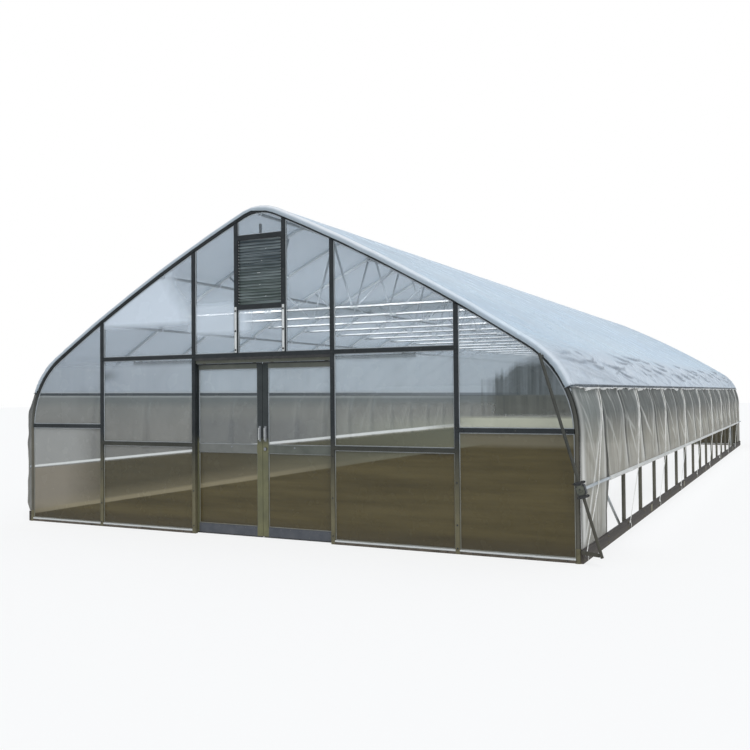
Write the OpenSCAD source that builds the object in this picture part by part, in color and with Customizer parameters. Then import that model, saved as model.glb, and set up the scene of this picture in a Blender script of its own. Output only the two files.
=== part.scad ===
// Gothic-arch greenhouse: round-tube bows under an inflated film roof, roll-up
// side curtains, and polycarbonate end walls, one with a pair of sliding doors.
// X runs across the span, Y along the length and Z up. The origin is the centre
// of the footprint at ground level, and the door wall faces -Y.

/* [Building] */
// Span, between the centres of the legs
span = 7924; // [6400:1:9600]
// Distance from one bow to the next
bay_len = 1219; // [950:1:1500]
// Number of bays
bays = 18; // [6:1:24]
// Height of the ridge, over the tube
ridge_h = 4130; // [3600:1:4900]
// Height of the straight legs
leg_h = 1350; // [1000:1:1600]

/* [Bows] */
// Diameter of the bow tube
bow_d = 51; // [38:1:70]
// Radius of the eave bend, at the tube's centre
eave_r = 1145; // [900:1:1400]
// Radius of the ridge bend, at the tube's centre
ridge_r = 575; // [400:1:800]
// Angle through which a rafter turns between its two bends
rafter_turn = 9; // [3:0.5:14]

/* [Truss] */
// Height of the collar tie's centre
tie_h = 2960; // [2800:1:3150]
// Diameter of the collar tie
tie_d = 38; // [25:1:48]
// Diameter of the truss webs
web_d = 32; // [20:1:38]
// Distance of the webs' foot from the centre line
web_foot_x = 690; // [500:1:850]
// Distance of the outer web's head from the centre line
web_outer_x = 1370; // [1150:1:1500]
// Distance of the inner web's head from the centre line
web_inner_x = 330; // [290:1:420]

/* [Purlins and braces] */
// Diameter of the purlins
purlin_d = 38; // [25:1:48]
// Distance of the upper side purlin from the centre line
purlin_upper_x = 1560; // [1450:1:1900]
// Distance of the lower side purlin from the centre line
purlin_lower_x = 2630; // [2400:1:2900]
// Diameter of the corner braces
brace_d = 34; // [25:1:42]
// Height of a corner brace's upper end
brace_h = 2030; // [1800:1:2150]
// Bays that a corner brace crosses
brace_bays = 2; // [1:1:3]

/* [Film and curtains] */
// Thickness of the inflated double film
roof_film_t = 30; // [10:1:60]
// Overhang of the roof film past the end bows
roof_film_lap = 45; // [30:1:90]
// Height of the hip rail's centre
hip_h = 1850; // [1750:1:1950]
// Thickness of the hip rail
hip_rail_t = 25; // [15:1:40]
// Thickness of the film lock channel on it
film_lock_t = 10; // [6:1:16]
// Height of the hip rail and its channel
hip_rail_w = 40; // [30:1:60]
// Thickness of the curtain film
curtain_t = 3; // [2:0.5:6]
// Height of the rolled-up curtain's pipe
roll_h = 780; // [400:1:1100]
// Diameter of the roll pipe
roll_pipe_d = 34; // [25:1:42]
// Diameter of the film wound on it
roll_d = 60; // [50:1:80]
// Height of the base board
board_h = 140; // [80:1:200]
// Thickness of the base board
board_t = 28; // [18:1:34]
// Thickness of the hold-down ropes
rope_d = 8; // [6:1:10]
// Bays between two ropes
rope_bays = 2; // [1:1:3]
// Lean of the ropes along the wall
rope_lean = 34; // [0:1:40]

/* [Curtain drive] */
// Height at which the guide pole meets the end bow
pole_top_h = 2175; // [2000:1:2250]
// Diameter of the guide pole
pole_d = 34; // [25:1:42]
// Distance from the end bow to the pole's centre, along Y
pole_out = 130; // [100:1:180]
// Width, depth and height of the gearbox
gearbox = [105, 64, 175]; // [40:1:220]

/* [End walls] */
// Side of the square studs, rails and girts
stud = 50; // [38:1:60]
// Distance of the outer studs from the centre line
stud_x = 2620; // [2300:1:2900]
// Distance of the door jambs from the centre line
jamb_x = 1035; // [900:1:1150]
// Distance of the vent studs from the centre line
vent_x = 357; // [300:1:450]
// Height of the header's top
header_h = 2322; // [2290:1:2450]
// Height of the girt's centre in the outer bays
girt_outer_h = 1375; // [1100:1:1500]
// Height of the girt's centre in the middle bays
girt_inner_h = 1145; // [900:1:1400]
// Thickness of the polycarbonate sheet
panel_t = 8; // [4:1:16]
// Height of the vent's lower edge
vent_bottom_h = 2920; // [2800:1:3000]
// Height of the vent shutter
vent_h = 840; // [600:1:860]
// Width of the vent shutter's own frame
vent_frame_w = 10; // [8:1:35]
// Number of louvre slats
slat_count = 22; // [12:1:26]
// Width of the stub on top of the vent
stub_w = 30; // [20:1:40]
// Height of the stub on top of the vent
stub_h = 130; // [60:1:150]

/* [Doors] */
// Thickness of a door leaf
leaf_t = 38; // [30:1:45]
// Height of a door leaf
leaf_h = 2160; // [2000:1:2165]
// Gap under a door leaf
leaf_floor_gap = 20; // [10:1:40]
// Gap between the two leaves
leaf_meet_gap = 5; // [5:1:10]
// How far a leaf covers its jamb from behind
leaf_lap = 35; // [15:1:50]
// Gap between the wall and a leaf
leaf_wall_gap = 10; // [8:1:20]
// Width of a leaf's outer stile
outer_stile_w = 50; // [40:1:70]
// Width of a leaf's meeting stile
meeting_stile_w = 78; // [60:1:100]
// Height of a leaf's top rail
top_rail_h = 55; // [40:1:80]
// Height of a leaf's middle rail
mid_rail_h = 100; // [60:1:120]
// Height of the middle rail's centre
mid_rail_z = 1110; // [950:1:1250]
// Height of a leaf's bottom rail
bottom_rail_h = 115; // [80:1:160]
// Distance of the track's ends from the centre line
track_x = 2100; // [1980:1:2500]
// Height of the track rail
track_h = 52; // [40:1:55]
// Thickness of the track rail
track_t = 10; // [8:1:12]
// Diameter of a hanger's wheel
wheel_d = 54; // [40:1:56]
// Length of a pull handle
handle_l = 150; // [100:1:220]
// Height of a pull handle's centre
handle_h = 1300; // [1200:1:1400]

/* [Hidden] */

steel = [0.33, 0.36, 0.38];
zinc = [0.66, 0.68, 0.69];
aluminium = [0.74, 0.75, 0.76];
film = [0.80, 0.86, 0.92];
curtain_grey = [0.68, 0.70, 0.71];
sheet_grey = [0.66, 0.71, 0.75];
slate = [0.27, 0.33, 0.33];
timber_dark = [0.20, 0.18, 0.16];
rope_white = [0.90, 0.90, 0.87];

// Gap left between two pieces that rest on each other
seat = 0.3;
// How far a cutting shape runs past the faces it cuts
past = 1;
// Facets of a round tube, and of the long bends
tube_fn = 48;
bend_fn = 256;
bow_r = bow_d / 2;
length = bays * bay_len;
bow_ys = [for (k = [0:bays]) k * bay_len - length / 2];

// ---------------------------------------------------------------- arch line
// The bow's centre line: a leg, the eave bend, a slightly curved rafter and half
// the ridge bend, each tangent to the next. Angles are those of the outward
// normal, from 0 at the leg to 90 at the ridge.
ridge_z = ridge_h - bow_r;
function eave_end(slope) = [
    span / 2 - eave_r * (1 - sin(slope)),
    leg_h + eave_r * cos(slope)
];
function ridge_end(slope) = [ridge_r * sin(slope), ridge_z - ridge_r * (1 - cos(slope))];
function rafter_chord(mean) =
    ridge_end(mean - rafter_turn / 2) - eave_end(mean + rafter_turn / 2);
function chord_slope(mean) =
    atan(rafter_chord(mean)[1] / -rafter_chord(mean)[0]);
function settle_slope(mean, turns) =
    turns == 0 ? mean : settle_slope(chord_slope(mean), turns - 1);
first_slope = 28;
settling_turns = 12;
mean_slope = settle_slope(first_slope, settling_turns);
eave_slope = mean_slope + rafter_turn / 2;
ridge_slope = mean_slope - rafter_turn / 2;
eave_a = 90 - eave_slope;
ridge_a = 90 - ridge_slope;
rafter_r = norm(rafter_chord(mean_slope)) / (2 * sin(rafter_turn / 2));
eave_c = [span / 2 - eave_r, leg_h];
rafter_c = eave_end(eave_slope) - rafter_r * [cos(eave_a), sin(eave_a)];
ridge_c = [0, ridge_z - ridge_r];

// A point at an angle on each arc, moved outwards by off
function on_arc(c, r, a, off) = c + (r + off) * [cos(a), sin(a)];
function on_eave(a, off) = on_arc(eave_c, eave_r, a, off);
function on_rafter(a, off) = on_arc(rafter_c, rafter_r, a, off);
function on_ridge(a, off) = on_arc(ridge_c, ridge_r, a, off);

// Height of the offset arch over x, and its half width at height z
function arch_z(x, off) =
    let (u = abs(x))
    u <= on_ridge(ridge_a, off)[0] ? ridge_c[1] + sqrt(pow(ridge_r + off, 2) - u * u)
    : u <= on_eave(eave_a, off)[0]
        ? rafter_c[1] + sqrt(pow(rafter_r + off, 2) - pow(u - rafter_c[0], 2))
        : eave_c[1] + sqrt(pow(eave_r + off, 2) - pow(u - eave_c[0], 2));
function arch_x(z, off) =
    z <= leg_h ? span / 2 + off
    : z <= on_eave(eave_a, off)[1]
        ? eave_c[0] + sqrt(pow(eave_r + off, 2) - pow(z - eave_c[1], 2))
        : rafter_c[0] + sqrt(pow(rafter_r + off, 2) - pow(z - rafter_c[1], 2));
function rafter_a_at(x) = acos((x - rafter_c[0]) / rafter_r);

// Outline of everything inside the offset arch
eave_steps = 16;
rafter_steps = 10;
ridge_steps = 8;
function half_arch(off) = [
    [span / 2 + off, 0],
    for (i = [0:eave_steps - 1]) on_eave(eave_a * i / eave_steps, off),
    for (i = [0:rafter_steps - 1]) on_rafter(eave_a + rafter_turn * i / rafter_steps, off),
    for (i = [0:ridge_steps]) on_ridge(ridge_a + ridge_slope * i / ridge_steps, off)
];
function mirrored(points) = [for (i = [len(points) - 2:-1:0]) [-points[i][0], points[i][1]]];
function arch_outline(off) = concat(half_arch(off), mirrored(half_arch(off)));

// ------------------------------------------------------------------ helpers
module both_sides() {
    children();
    mirror([1, 0, 0]) children();
}

module both_drives() {
    children();
    rotate([0, 0, 180]) children();
}

// Draws an X-Z outline as a solid from y0 to y1
module along(y0, y1) {
    translate([0, y1, 0]) rotate([90, 0, 0]) linear_extrude(y1 - y0) children();
}

module block(low, high) {
    translate(low) cube(high - low);
}

module rod(from, to, d) {
    axis = to - from;
    reach = norm(axis);
    translate(from)
        rotate([0, acos(axis[2] / reach), atan2(axis[1], axis[0])])
            cylinder(d = d, h = reach, $fn = tube_fn);
}

module bow_arc(centre, r, start, turn) {
    translate([centre[0], 0, centre[1]]) rotate([90, 0, 0]) rotate([0, 0, start])
        rotate_extrude(angle = turn, $fn = bend_fn)
            translate([r, 0]) circle(d = bow_d, $fn = tube_fn);
}

// ---------------------------------------------------------------- bow tubes
module ground_posts() {
    color(steel) for (y = bow_ys) both_sides()
        translate([span / 2, y, 0]) cylinder(d = bow_d, h = leg_h, $fn = tube_fn);
}

module eave_bends() {
    color(steel) for (y = bow_ys) translate([0, y, 0]) both_sides()
        bow_arc(eave_c, eave_r, 0, eave_a);
}

module rafters() {
    color(steel) for (y = bow_ys) translate([0, y, 0]) both_sides()
        bow_arc(rafter_c, rafter_r, eave_a, rafter_turn);
}

module ridge_bends() {
    color(steel) for (y = bow_ys) translate([0, y, 0])
        bow_arc(ridge_c, ridge_r, ridge_a, 2 * ridge_slope);
}

// -------------------------------------------------------------------- truss
inner_bow_ys = [for (k = [1:bays - 1]) bow_ys[k]];
tie_x = arch_x(tie_h + tie_d / 2, -bow_r - seat);

module collar_ties() {
    color(zinc) for (y = inner_bow_ys)
        rod([-tie_x, y, tie_h], [tie_x, y, tie_h], tie_d);
}

// A web from the tie at foot_x to the rafter at head_x, cut square at both ends
// just clear of the two tubes
web_foot_gap = 30;
function square_cut(r, angle) = (r + seat + web_d / 2 * cos(angle)) / sin(angle);

module web(foot_x, head_x) {
    foot = [foot_x, tie_h];
    head = on_rafter(rafter_a_at(head_x), 0);
    run = (head - foot) / norm(head - foot);
    lean = atan2(run[1], run[0]);
    foot_angle = min(lean, 180 - lean);
    head_lean = lean + 90 - rafter_a_at(head_x);
    head_angle = min(head_lean, 180 - head_lean);
    low = foot + run * square_cut(tie_d / 2, foot_angle);
    high = head - run * square_cut(bow_r, head_angle);
    rod([low[0], 0, low[1]], [high[0], 0, high[1]], web_d);
}

module truss_webs() {
    color(zinc) for (y = inner_bow_ys) translate([0, y, 0]) both_sides() {
        web(web_foot_x + web_foot_gap, web_outer_x);
        web(web_foot_x - web_foot_gap, web_inner_x);
    }
}

// ------------------------------------------------------- purlins and braces
wall_y = length / 2;
wall_in_y = wall_y - stud / 2;
purlin_off = -(bow_r + seat + purlin_d / 2);
purlin_end = wall_in_y - seat;

module purlins() {
    color(zinc) {
        ridge = on_ridge(90, purlin_off);
        rod([ridge[0], -purlin_end, ridge[1]], [ridge[0], purlin_end, ridge[1]], purlin_d);
        for (x = [purlin_upper_x, purlin_lower_x]) {
            place = on_rafter(rafter_a_at(x), purlin_off);
            both_sides()
                rod([place[0], -purlin_end, place[1]], [place[0], purlin_end, place[1]], purlin_d);
        }
    }
}

brace_end_y = 17;
brace_end_z = 40;
brace_seat = 0.5;

module corner_brace() {
    reach = bow_r + brace_d / 2 + brace_seat;
    inset = sqrt(reach * reach - brace_end_y * brace_end_y);
    head_a = asin((brace_h - leg_h) / (eave_r - inset));
    head = on_eave(head_a, -inset);
    foot_y = -wall_y + brace_bays * bay_len;
    rod([head[0], -wall_y + brace_end_y, head[1]],
        [span / 2 - reach, foot_y, brace_end_z], brace_d);
}

module corner_braces() {
    color(zinc) both_sides() {
        corner_brace();
        mirror([0, 1, 0]) corner_brace();
    }
}

// --------------------------------------------------------- hip rail and base
hip_inner = bow_r + seat;
hip_a = asin((hip_h - leg_h) / (eave_r + hip_inner + hip_rail_t / 2));
end_reach = wall_y + bow_r;
lock_inner = hip_inner + hip_rail_t + seat;

module hip_bar(inner, t) {
    along(-end_reach, end_reach)
        translate(on_eave(hip_a, inner + t / 2)) rotate(hip_a)
            square([t, hip_rail_w], center = true);
}

module hip_rails() {
    color(aluminium) both_sides() hip_bar(hip_inner, hip_rail_t);
}

module film_locks() {
    color(aluminium) both_sides() hip_bar(lock_inner, film_lock_t);
}

board_x = span / 2 + bow_r + seat;

module base_boards() {
    color(timber_dark) both_sides()
        block([board_x, -end_reach, 0], [board_x + board_t, end_reach, board_h]);
}

// --------------------------------------------------------------------- film
// Film is drawn as flat strips between stations, each station an inner and an
// outer point, with a hairline between one strip and the next
function toward(p, q, d) = p + d * (q - p) / norm(q - p);

module strips(stations, y0, y1) {
    for (i = [0:len(stations) - 2]) {
        a = stations[i];
        b = stations[i + 1];
        along(y0, y1) polygon([
            toward(a[0], b[0], seat / 2), toward(b[0], a[0], seat / 2),
            toward(b[1], a[1], seat / 2), toward(a[1], b[1], seat / 2)
        ]);
    }
}

// Offset at which a chord between stations stays clear of the tube
function chord_off(r, step) = (r + bow_r + seat) / cos(step / 2) - r;
film_eave_steps = 3;
film_rafter_steps = 4;
film_ridge_steps = 2;
hip_half_a = asin((hip_rail_w / 2 + seat) / (eave_r + bow_r));
film_start_a = hip_a + hip_half_a;
film_eave_step = (eave_a - film_start_a) / film_eave_steps;
film_rafter_step = rafter_turn / film_rafter_steps;
film_ridge_step = ridge_slope / film_ridge_steps;
film_off = max(
    chord_off(eave_r, film_eave_step),
    chord_off(rafter_r, film_rafter_step),
    chord_off(ridge_r, film_ridge_step)
);
film_top = film_off + roof_film_t;
roof_stations = [
    for (i = [0:film_eave_steps - 1])
        let (a = film_start_a + i * film_eave_step)
        [on_eave(a, film_off), on_eave(a, film_top)],
    for (i = [0:film_rafter_steps - 1])
        let (a = eave_a + i * film_rafter_step)
        [on_rafter(a, film_off), on_rafter(a, film_top)],
    for (i = [0:film_ridge_steps])
        let (a = ridge_a + i * film_ridge_step)
        [on_ridge(a, film_off), on_ridge(a, film_top)]
];

module roof_film_half() {
    strips(roof_stations, -wall_y - roof_film_lap, wall_y + roof_film_lap);
}

module roof_film_left() {
    color(film) mirror([1, 0, 0]) roof_film_half();
}

module roof_film_right() {
    color(film) roof_film_half();
}

// The curtain hangs from under the hip rail, passes outside the legs and ends on
// its roll. The corner films do the same and end on the base board.
roll_clear = 10;
roll_x = span / 2 + bow_r + roll_clear + roll_d / 2;
curtain_start_a = hip_a - hip_half_a;
curtain_off = chord_off(eave_r, curtain_start_a / 2) + seat;
curtain_top_off = hip_inner + hip_rail_t / 2;
curtain_bend = [
    [on_eave(curtain_start_a, curtain_top_off),
     on_eave(curtain_start_a, curtain_top_off + curtain_t)],
    [on_eave(curtain_start_a / 2, curtain_off),
     on_eave(curtain_start_a / 2, curtain_off + curtain_t)],
    [on_eave(0, curtain_off), on_eave(0, curtain_off + curtain_t)]
];
roll_top = roll_h + roll_d / 2 + seat;
curtain_stations = concat(curtain_bend, [
    [[roll_x - curtain_t / 2, roll_top], [roll_x + curtain_t / 2, roll_top]]
]);
corner_stations = concat(curtain_bend, [
    [[span / 2 + curtain_off, board_h + seat],
     [span / 2 + curtain_off + curtain_t, board_h + seat]]
]);
corner_film_end = wall_y - bay_len - bow_r;
curtain_end = corner_film_end - seat;

module side_curtains() {
    color(curtain_grey) both_sides() strips(curtain_stations, -curtain_end, curtain_end);
}

module corner_films() {
    color(curtain_grey) both_sides() {
        strips(corner_stations, -end_reach, -corner_film_end);
        strips(corner_stations, corner_film_end, end_reach);
    }
}

// ------------------------------------------------------------ curtain drive
pole_top_x = arch_x(pole_top_h, 0);
pole_lean = atan((roll_x - pole_top_x) / (pole_top_h - roll_h));
pole_y = -wall_y - pole_out;
function pole_x(z) = roll_x + (roll_h - z) * tan(pole_lean);
gearbox_y = pole_y + gearbox[1] / 2;

module roll_pipe() {
    rod([roll_x, gearbox_y + seat, roll_h], [roll_x, wall_y + roll_clear, roll_h], roll_pipe_d);
}

module roll_pipes() {
    color(zinc) both_drives() roll_pipe();
}

module curtain_rolls() {
    color(film) both_sides() difference() {
        rod([roll_x, -curtain_end, roll_h], [roll_x, curtain_end, roll_h], roll_d);
        rod([roll_x, -curtain_end - past, roll_h], [roll_x, curtain_end + past, roll_h],
            roll_pipe_d + 2 * seat);
    }
}

// The pole, the stay that holds its head to the end bow and the bar to its foot
stay_w = 26;
foot_bar_t = 14;
foot_bar_h = 40;
foot_bar_z = 119;
pole_past_bar = 5;
pole_end_z = foot_bar_z - foot_bar_h / 2 - pole_past_bar;

module guide_pole() {
    rod([pole_x(pole_end_z), pole_y, pole_end_z],
        [pole_x(pole_top_h + stay_w), pole_y, pole_top_h + stay_w], pole_d);
    block([pole_top_x - stay_w / 2, pole_y + pole_d / 2 + seat, pole_top_h - stay_w / 2],
          [pole_top_x + stay_w / 2, -wall_y - bow_r - seat, pole_top_h + stay_w / 2]);
    bar_start = [board_x + board_t / 2, -end_reach - seat - foot_bar_t / 2];
    reach = [pole_x(foot_bar_z), pole_y] - bar_start;
    tilt_room = foot_bar_h / 2 * tan(pole_lean);
    bar_l = norm(reach) - pole_d / 2 - seat - tilt_room;
    translate([bar_start[0], bar_start[1], foot_bar_z])
        rotate([0, 0, atan2(reach[1], reach[0])])
            translate([0, -foot_bar_t / 2, -foot_bar_h / 2])
                cube([bar_l, foot_bar_t, foot_bar_h]);
}

module guide_poles() {
    color(steel) both_drives() guide_pole();
}

hub_d = 46;
hub_l = 30;

module curtain_gearbox() {
    translate([roll_x, pole_y, roll_h]) rotate([0, -pole_lean, 0]) {
        difference() {
            cube(gearbox, center = true);
            cylinder(d = pole_d + 2 * seat, h = gearbox[2] + 2 * past, center = true,
                     $fn = tube_fn);
        }
        translate([0, -gearbox[1] / 2, 0]) rotate([90, 0, 0])
            cylinder(d = hub_d, h = hub_l, $fn = tube_fn);
    }
}

module curtain_gearboxes() {
    color(timber_dark) both_drives() curtain_gearbox();
}

// Each rope lies in its own leaning plane, over the curtain and its roll
rope_foot_z = 60;
rope_foot_x = board_x + board_t + seat;
rope_eave = on_eave(0, curtain_off + curtain_t + seat);
rope_foot = [rope_foot_x, rope_foot_z];

// Direction of the line from a point that just clears the roll on its outside,
// and the corner where two such lines meet
function past_roll(from, side) =
    let (to = [roll_x, roll_h] - from)
    let (a = atan2(to[1], to[0]) + side * asin((roll_d / 2 + seat) / norm(to)))
    [cos(a), sin(a)];
function cross_of(a, b) = a[0] * b[1] - a[1] * b[0];
function roll_corner(p, q) =
    let (u = past_roll(p, 1), v = past_roll(q, -1))
    p + u * cross_of(q - p, v) / cross_of(u, v);
rope_line = [
    [on_eave(curtain_start_a, lock_inner + film_lock_t / 2)[0],
     on_eave(curtain_start_a, lock_inner)[1]],
    on_eave(curtain_start_a / 2, curtain_off + curtain_t + seat),
    rope_eave,
    roll_corner(rope_eave, rope_foot),
    rope_foot
];
rope_inset = 50;
rope_ys = [for (k = [0:rope_bays:bays - 1]) bow_ys[k] + rope_inset];

module rope() {
    rise = 1 / cos(rope_lean);
    inner = [for (p = rope_line) [p[0], p[1] * rise]];
    outer = [for (i = [len(inner) - 1:-1:0]) inner[i] + [rope_d, 0]];
    rotate([90 - rope_lean, 0, 0]) translate([0, 0, -rope_d / 2])
        linear_extrude(rope_d) polygon(concat(inner, outer));
}

module curtain_ropes() {
    color(rope_white) for (y = rope_ys) both_sides() translate([0, y, 0]) rope();
}

// ---------------------------------------------------------------- end walls
// A wall is drawn in the plane y = 0 with its outside towards -Y
wall_off = -bow_r - seat;
half = stud / 2;
outer_x0 = stud_x + half + seat;
mid_x0 = jamb_x + half + seat;
mid_x1 = stud_x - half - seat;
door_x1 = jamb_x - half - seat;
side_x0 = vent_x + half + seat;
vent_x1 = vent_x - half - seat;
vent_top_h = vent_bottom_h + vent_h;
header_low = header_h - stud;

module at_front() {
    translate([0, -wall_y, 0]) children();
}

module at_back() {
    translate([0, wall_y, 0]) mirror([0, 1, 0]) children();
}

// A post from z0 up to the arch, its top cut along the slope
module post(x, w, z0) {
    x0 = x - w / 2;
    x1 = x + w / 2;
    along(-half, half) polygon([
        [x0, z0], [x1, z0], [x1, arch_z(x1, wall_off)], [x0, arch_z(x0, wall_off)]
    ]);
}

module bar(x0, x1, z0, z1) {
    block([x0, -half, z0], [x1, half, z1]);
}

module pane(x0, x1, z0, z1) {
    along(-panel_t / 2, panel_t / 2) intersection() {
        polygon(arch_outline(wall_off));
        translate([x0, z0]) square([x1 - x0, z1 - z0]);
    }
}

module wall_studs() {
    color(steel) both_sides() {
        post(stud_x, stud, 0);
        post(jamb_x, stud, 0);
        post(vent_x, stud, header_h + seat);
    }
}

module wall_header() {
    color(steel) {
        both_sides() bar(mid_x0, mid_x1, header_low, header_h);
        bar(-door_x1, door_x1, header_low, header_h);
    }
}

module wall_girts() {
    outer_top = girt_outer_h + half;
    color(steel) both_sides() {
        bar(outer_x0, arch_x(outer_top, wall_off), girt_outer_h - half, outer_top);
        bar(mid_x0, mid_x1, girt_inner_h - half, girt_inner_h + half);
    }
}

module wall_sills() {
    color(steel) both_sides() {
        bar(outer_x0, span / 2 + wall_off, 0, stud);
        bar(mid_x0, mid_x1, 0, stud);
    }
}

module wall_lower_panels() {
    color(sheet_grey) both_sides() {
        pane(outer_x0, span, stud + seat, girt_outer_h - half - seat);
        pane(mid_x0, mid_x1, stud + seat, girt_inner_h - half - seat);
    }
}

module wall_upper_panels() {
    color(sheet_grey) both_sides() {
        pane(outer_x0, span, girt_outer_h + half + seat, ridge_h);
        pane(mid_x0, mid_x1, girt_inner_h + half + seat, header_low - seat);
    }
}

module wall_gable_panels() {
    color(sheet_grey) {
        both_sides() {
            pane(mid_x0, mid_x1, header_h + seat, ridge_h);
            pane(side_x0, door_x1, header_h + seat, ridge_h);
        }
        pane(-vent_x1, vent_x1, header_h + seat, vent_bottom_h - stud - seat);
        pane(-vent_x1, vent_x1, vent_top_h + stud + seat, ridge_h);
    }
}

module wall_vent_frame() {
    inner = vent_x1 - vent_frame_w;
    stub_z = vent_top_h + stud + seat;
    color(steel) {
        bar(-vent_x1, vent_x1, vent_bottom_h - stud, vent_bottom_h);
        bar(-vent_x1, vent_x1, vent_top_h, vent_top_h + stud);
        block([-stub_w / 2, panel_t / 2 + seat, stub_z], [stub_w / 2, half, stub_z + stub_h]);
    }
    color(aluminium) {
        both_sides() bar(inner, vent_x1, vent_bottom_h + seat, vent_top_h - seat);
        bar(-inner + seat, inner - seat, vent_bottom_h + seat, vent_bottom_h + vent_frame_w);
        bar(-inner + seat, inner - seat, vent_top_h - vent_frame_w, vent_top_h - seat);
    }
}

slat_tilt = 22;
slat_t = 2;

module wall_vent_slats() {
    low = vent_bottom_h + vent_frame_w + seat;
    pitch = (vent_h - 2 * vent_frame_w - 2 * seat) / slat_count;
    w = 2 * (vent_x1 - vent_frame_w - seat);
    color(slate) for (i = [0:slat_count - 1])
        translate([0, 0, low + (i + 0.5) * pitch]) rotate([-slat_tilt, 0, 0])
            cube([w, slat_t, pitch], center = true);
}

module front_studs() {
    at_front() wall_studs();
}

module front_header() {
    at_front() wall_header();
}

module front_girts() {
    at_front() wall_girts();
}

module front_sills() {
    at_front() wall_sills();
}

module front_lower_panels() {
    at_front() wall_lower_panels();
}

module front_upper_panels() {
    at_front() wall_upper_panels();
}

module front_gable_panels() {
    at_front() wall_gable_panels();
}

module front_vent_frame() {
    at_front() wall_vent_frame();
}

module front_vent_slats() {
    at_front() wall_vent_slats();
}

// The back wall has fixed sheets in place of the doors
module back_studs() {
    at_back() wall_studs();
}

module back_header() {
    at_back() wall_header();
}

module back_girts() {
    at_back() {
        wall_girts();
        color(steel) bar(-door_x1, door_x1, girt_inner_h - half, girt_inner_h + half);
    }
}

module back_sills() {
    at_back() {
        wall_sills();
        color(steel) bar(-door_x1, door_x1, 0, stud);
    }
}

module back_lower_panels() {
    at_back() {
        wall_lower_panels();
        color(sheet_grey)
            pane(-door_x1, door_x1, stud + seat, girt_inner_h - half - seat);
    }
}

module back_upper_panels() {
    at_back() {
        wall_upper_panels();
        color(sheet_grey)
            pane(-door_x1, door_x1, girt_inner_h + half + seat, header_low - seat);
    }
}

module back_gable_panels() {
    at_back() wall_gable_panels();
}

module back_vent_frame() {
    at_back() wall_vent_frame();
}

module back_vent_slats() {
    at_back() wall_vent_slats();
}

// -------------------------------------------------------------------- doors
// The leaves hang from wheels that run on top of a flat rail inside the wall
track_gap = 20;
track_inset = 5;
leaf_x0 = leaf_meet_gap / 2;
leaf_x1 = jamb_x - half + leaf_lap;
leaf_y0 = half + leaf_wall_gap;
leaf_y1 = leaf_y0 + leaf_t;
leaf_top = leaf_floor_gap + leaf_h;
track_low = leaf_top + track_gap;
track_top = track_low + track_h;
track_y0 = leaf_y0 + track_inset;
track_y1 = track_y0 + track_t;

bracket_w = 40;
bracket_t = 7;
bracket_n = 5;
bracket_margin = 140;
bracket_edge = 5;
bracket_ledge = 15;

module track_bracket() {
    y0 = half + seat;
    foot = track_top - bracket_ledge;
    low = track_low + bracket_edge;
    high = header_h - bracket_edge;
    translate([-bracket_w / 2, 0, 0]) rotate([90, 0, 90]) linear_extrude(bracket_w)
        polygon([
            [y0, low], [track_y0 - seat, low],
            [track_y0 - seat, foot], [y0 + bracket_t, foot],
            [y0 + bracket_t, high], [y0, high]
        ]);
}

module door_track() {
    span_x = track_x - bracket_margin;
    at_front() {
        color(aluminium) block([-track_x, track_y0, track_low], [track_x, track_y1, track_top]);
        color(steel) for (i = [0:bracket_n - 1])
            translate([-span_x + 2 * span_x * i / (bracket_n - 1), 0, 0]) track_bracket();
    }
}

window_x0 = leaf_x0 + meeting_stile_w;
window_x1 = leaf_x1 - outer_stile_w;
window_z = [
    [leaf_floor_gap + bottom_rail_h, mid_rail_z - mid_rail_h / 2],
    [mid_rail_z + mid_rail_h / 2, leaf_top - top_rail_h]
];

module leaf_frame() {
    color(steel) difference() {
        block([leaf_x0, leaf_y0, leaf_floor_gap], [leaf_x1, leaf_y1, leaf_top]);
        for (z = window_z)
            block([window_x0, leaf_y0 - past, z[0]], [window_x1, leaf_y1 + past, z[1]]);
    }
}

module leaf_panes() {
    middle = (leaf_y0 + leaf_y1) / 2;
    color(sheet_grey) for (z = window_z)
        block([window_x0 + seat, middle - panel_t / 2, z[0] + seat],
              [window_x1 - seat, middle + panel_t / 2, z[1] - seat]);
}

hanger_margin = 130;
hanger_w = 46;
hanger_inset = 2;
strap_t = 5;
strap_gap = 5;
wheel_w = track_t - 2;
axle_d = 14;

module hanger() {
    strap_y = track_y1 + strap_gap;
    axle_z = track_top + seat + wheel_d / 2;
    block([-hanger_w / 2, strap_y, leaf_top + seat],
          [hanger_w / 2, strap_y + strap_t, axle_z + axle_d]);
    block([-hanger_w / 2, leaf_y0 + hanger_inset, leaf_top + seat],
          [hanger_w / 2, leaf_y1 - hanger_inset, leaf_top + strap_t]);
    translate([0, track_y0 + (track_t - wheel_w) / 2, axle_z]) rotate([-90, 0, 0]) {
        cylinder(d = wheel_d, h = wheel_w, $fn = tube_fn);
        cylinder(d = axle_d, h = strap_y - track_y0, $fn = tube_fn);
    }
}

handle_d = 14;
handle_arm_d = 11;
handle_out = 28;
handle_x = leaf_x0 + meeting_stile_w / 2;

module pull_handle() {
    bar_y = leaf_y0 - handle_out;
    low = handle_h - handle_l / 2;
    high = handle_h + handle_l / 2;
    rod([handle_x, bar_y, low], [handle_x, bar_y, high], handle_d);
    for (z = [low + handle_d, high - handle_d])
        rod([handle_x, bar_y, z], [handle_x, leaf_y0 - seat, z], handle_arm_d);
}

lock_d = 44;
lock_out = 12;

module round_lock() {
    translate([handle_x, leaf_y0 - seat, mid_rail_z]) rotate([90, 0, 0])
        cylinder(d = lock_d, h = lock_out, $fn = tube_fn);
}

module leaf_fittings() {
    color(zinc) for (x = [leaf_x0 + hanger_margin, leaf_x1 - hanger_margin])
        translate([x, 0, 0]) hanger();
    color(timber_dark) pull_handle();
}

module left_door_frame() {
    at_front() mirror([1, 0, 0]) leaf_frame();
}

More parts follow.
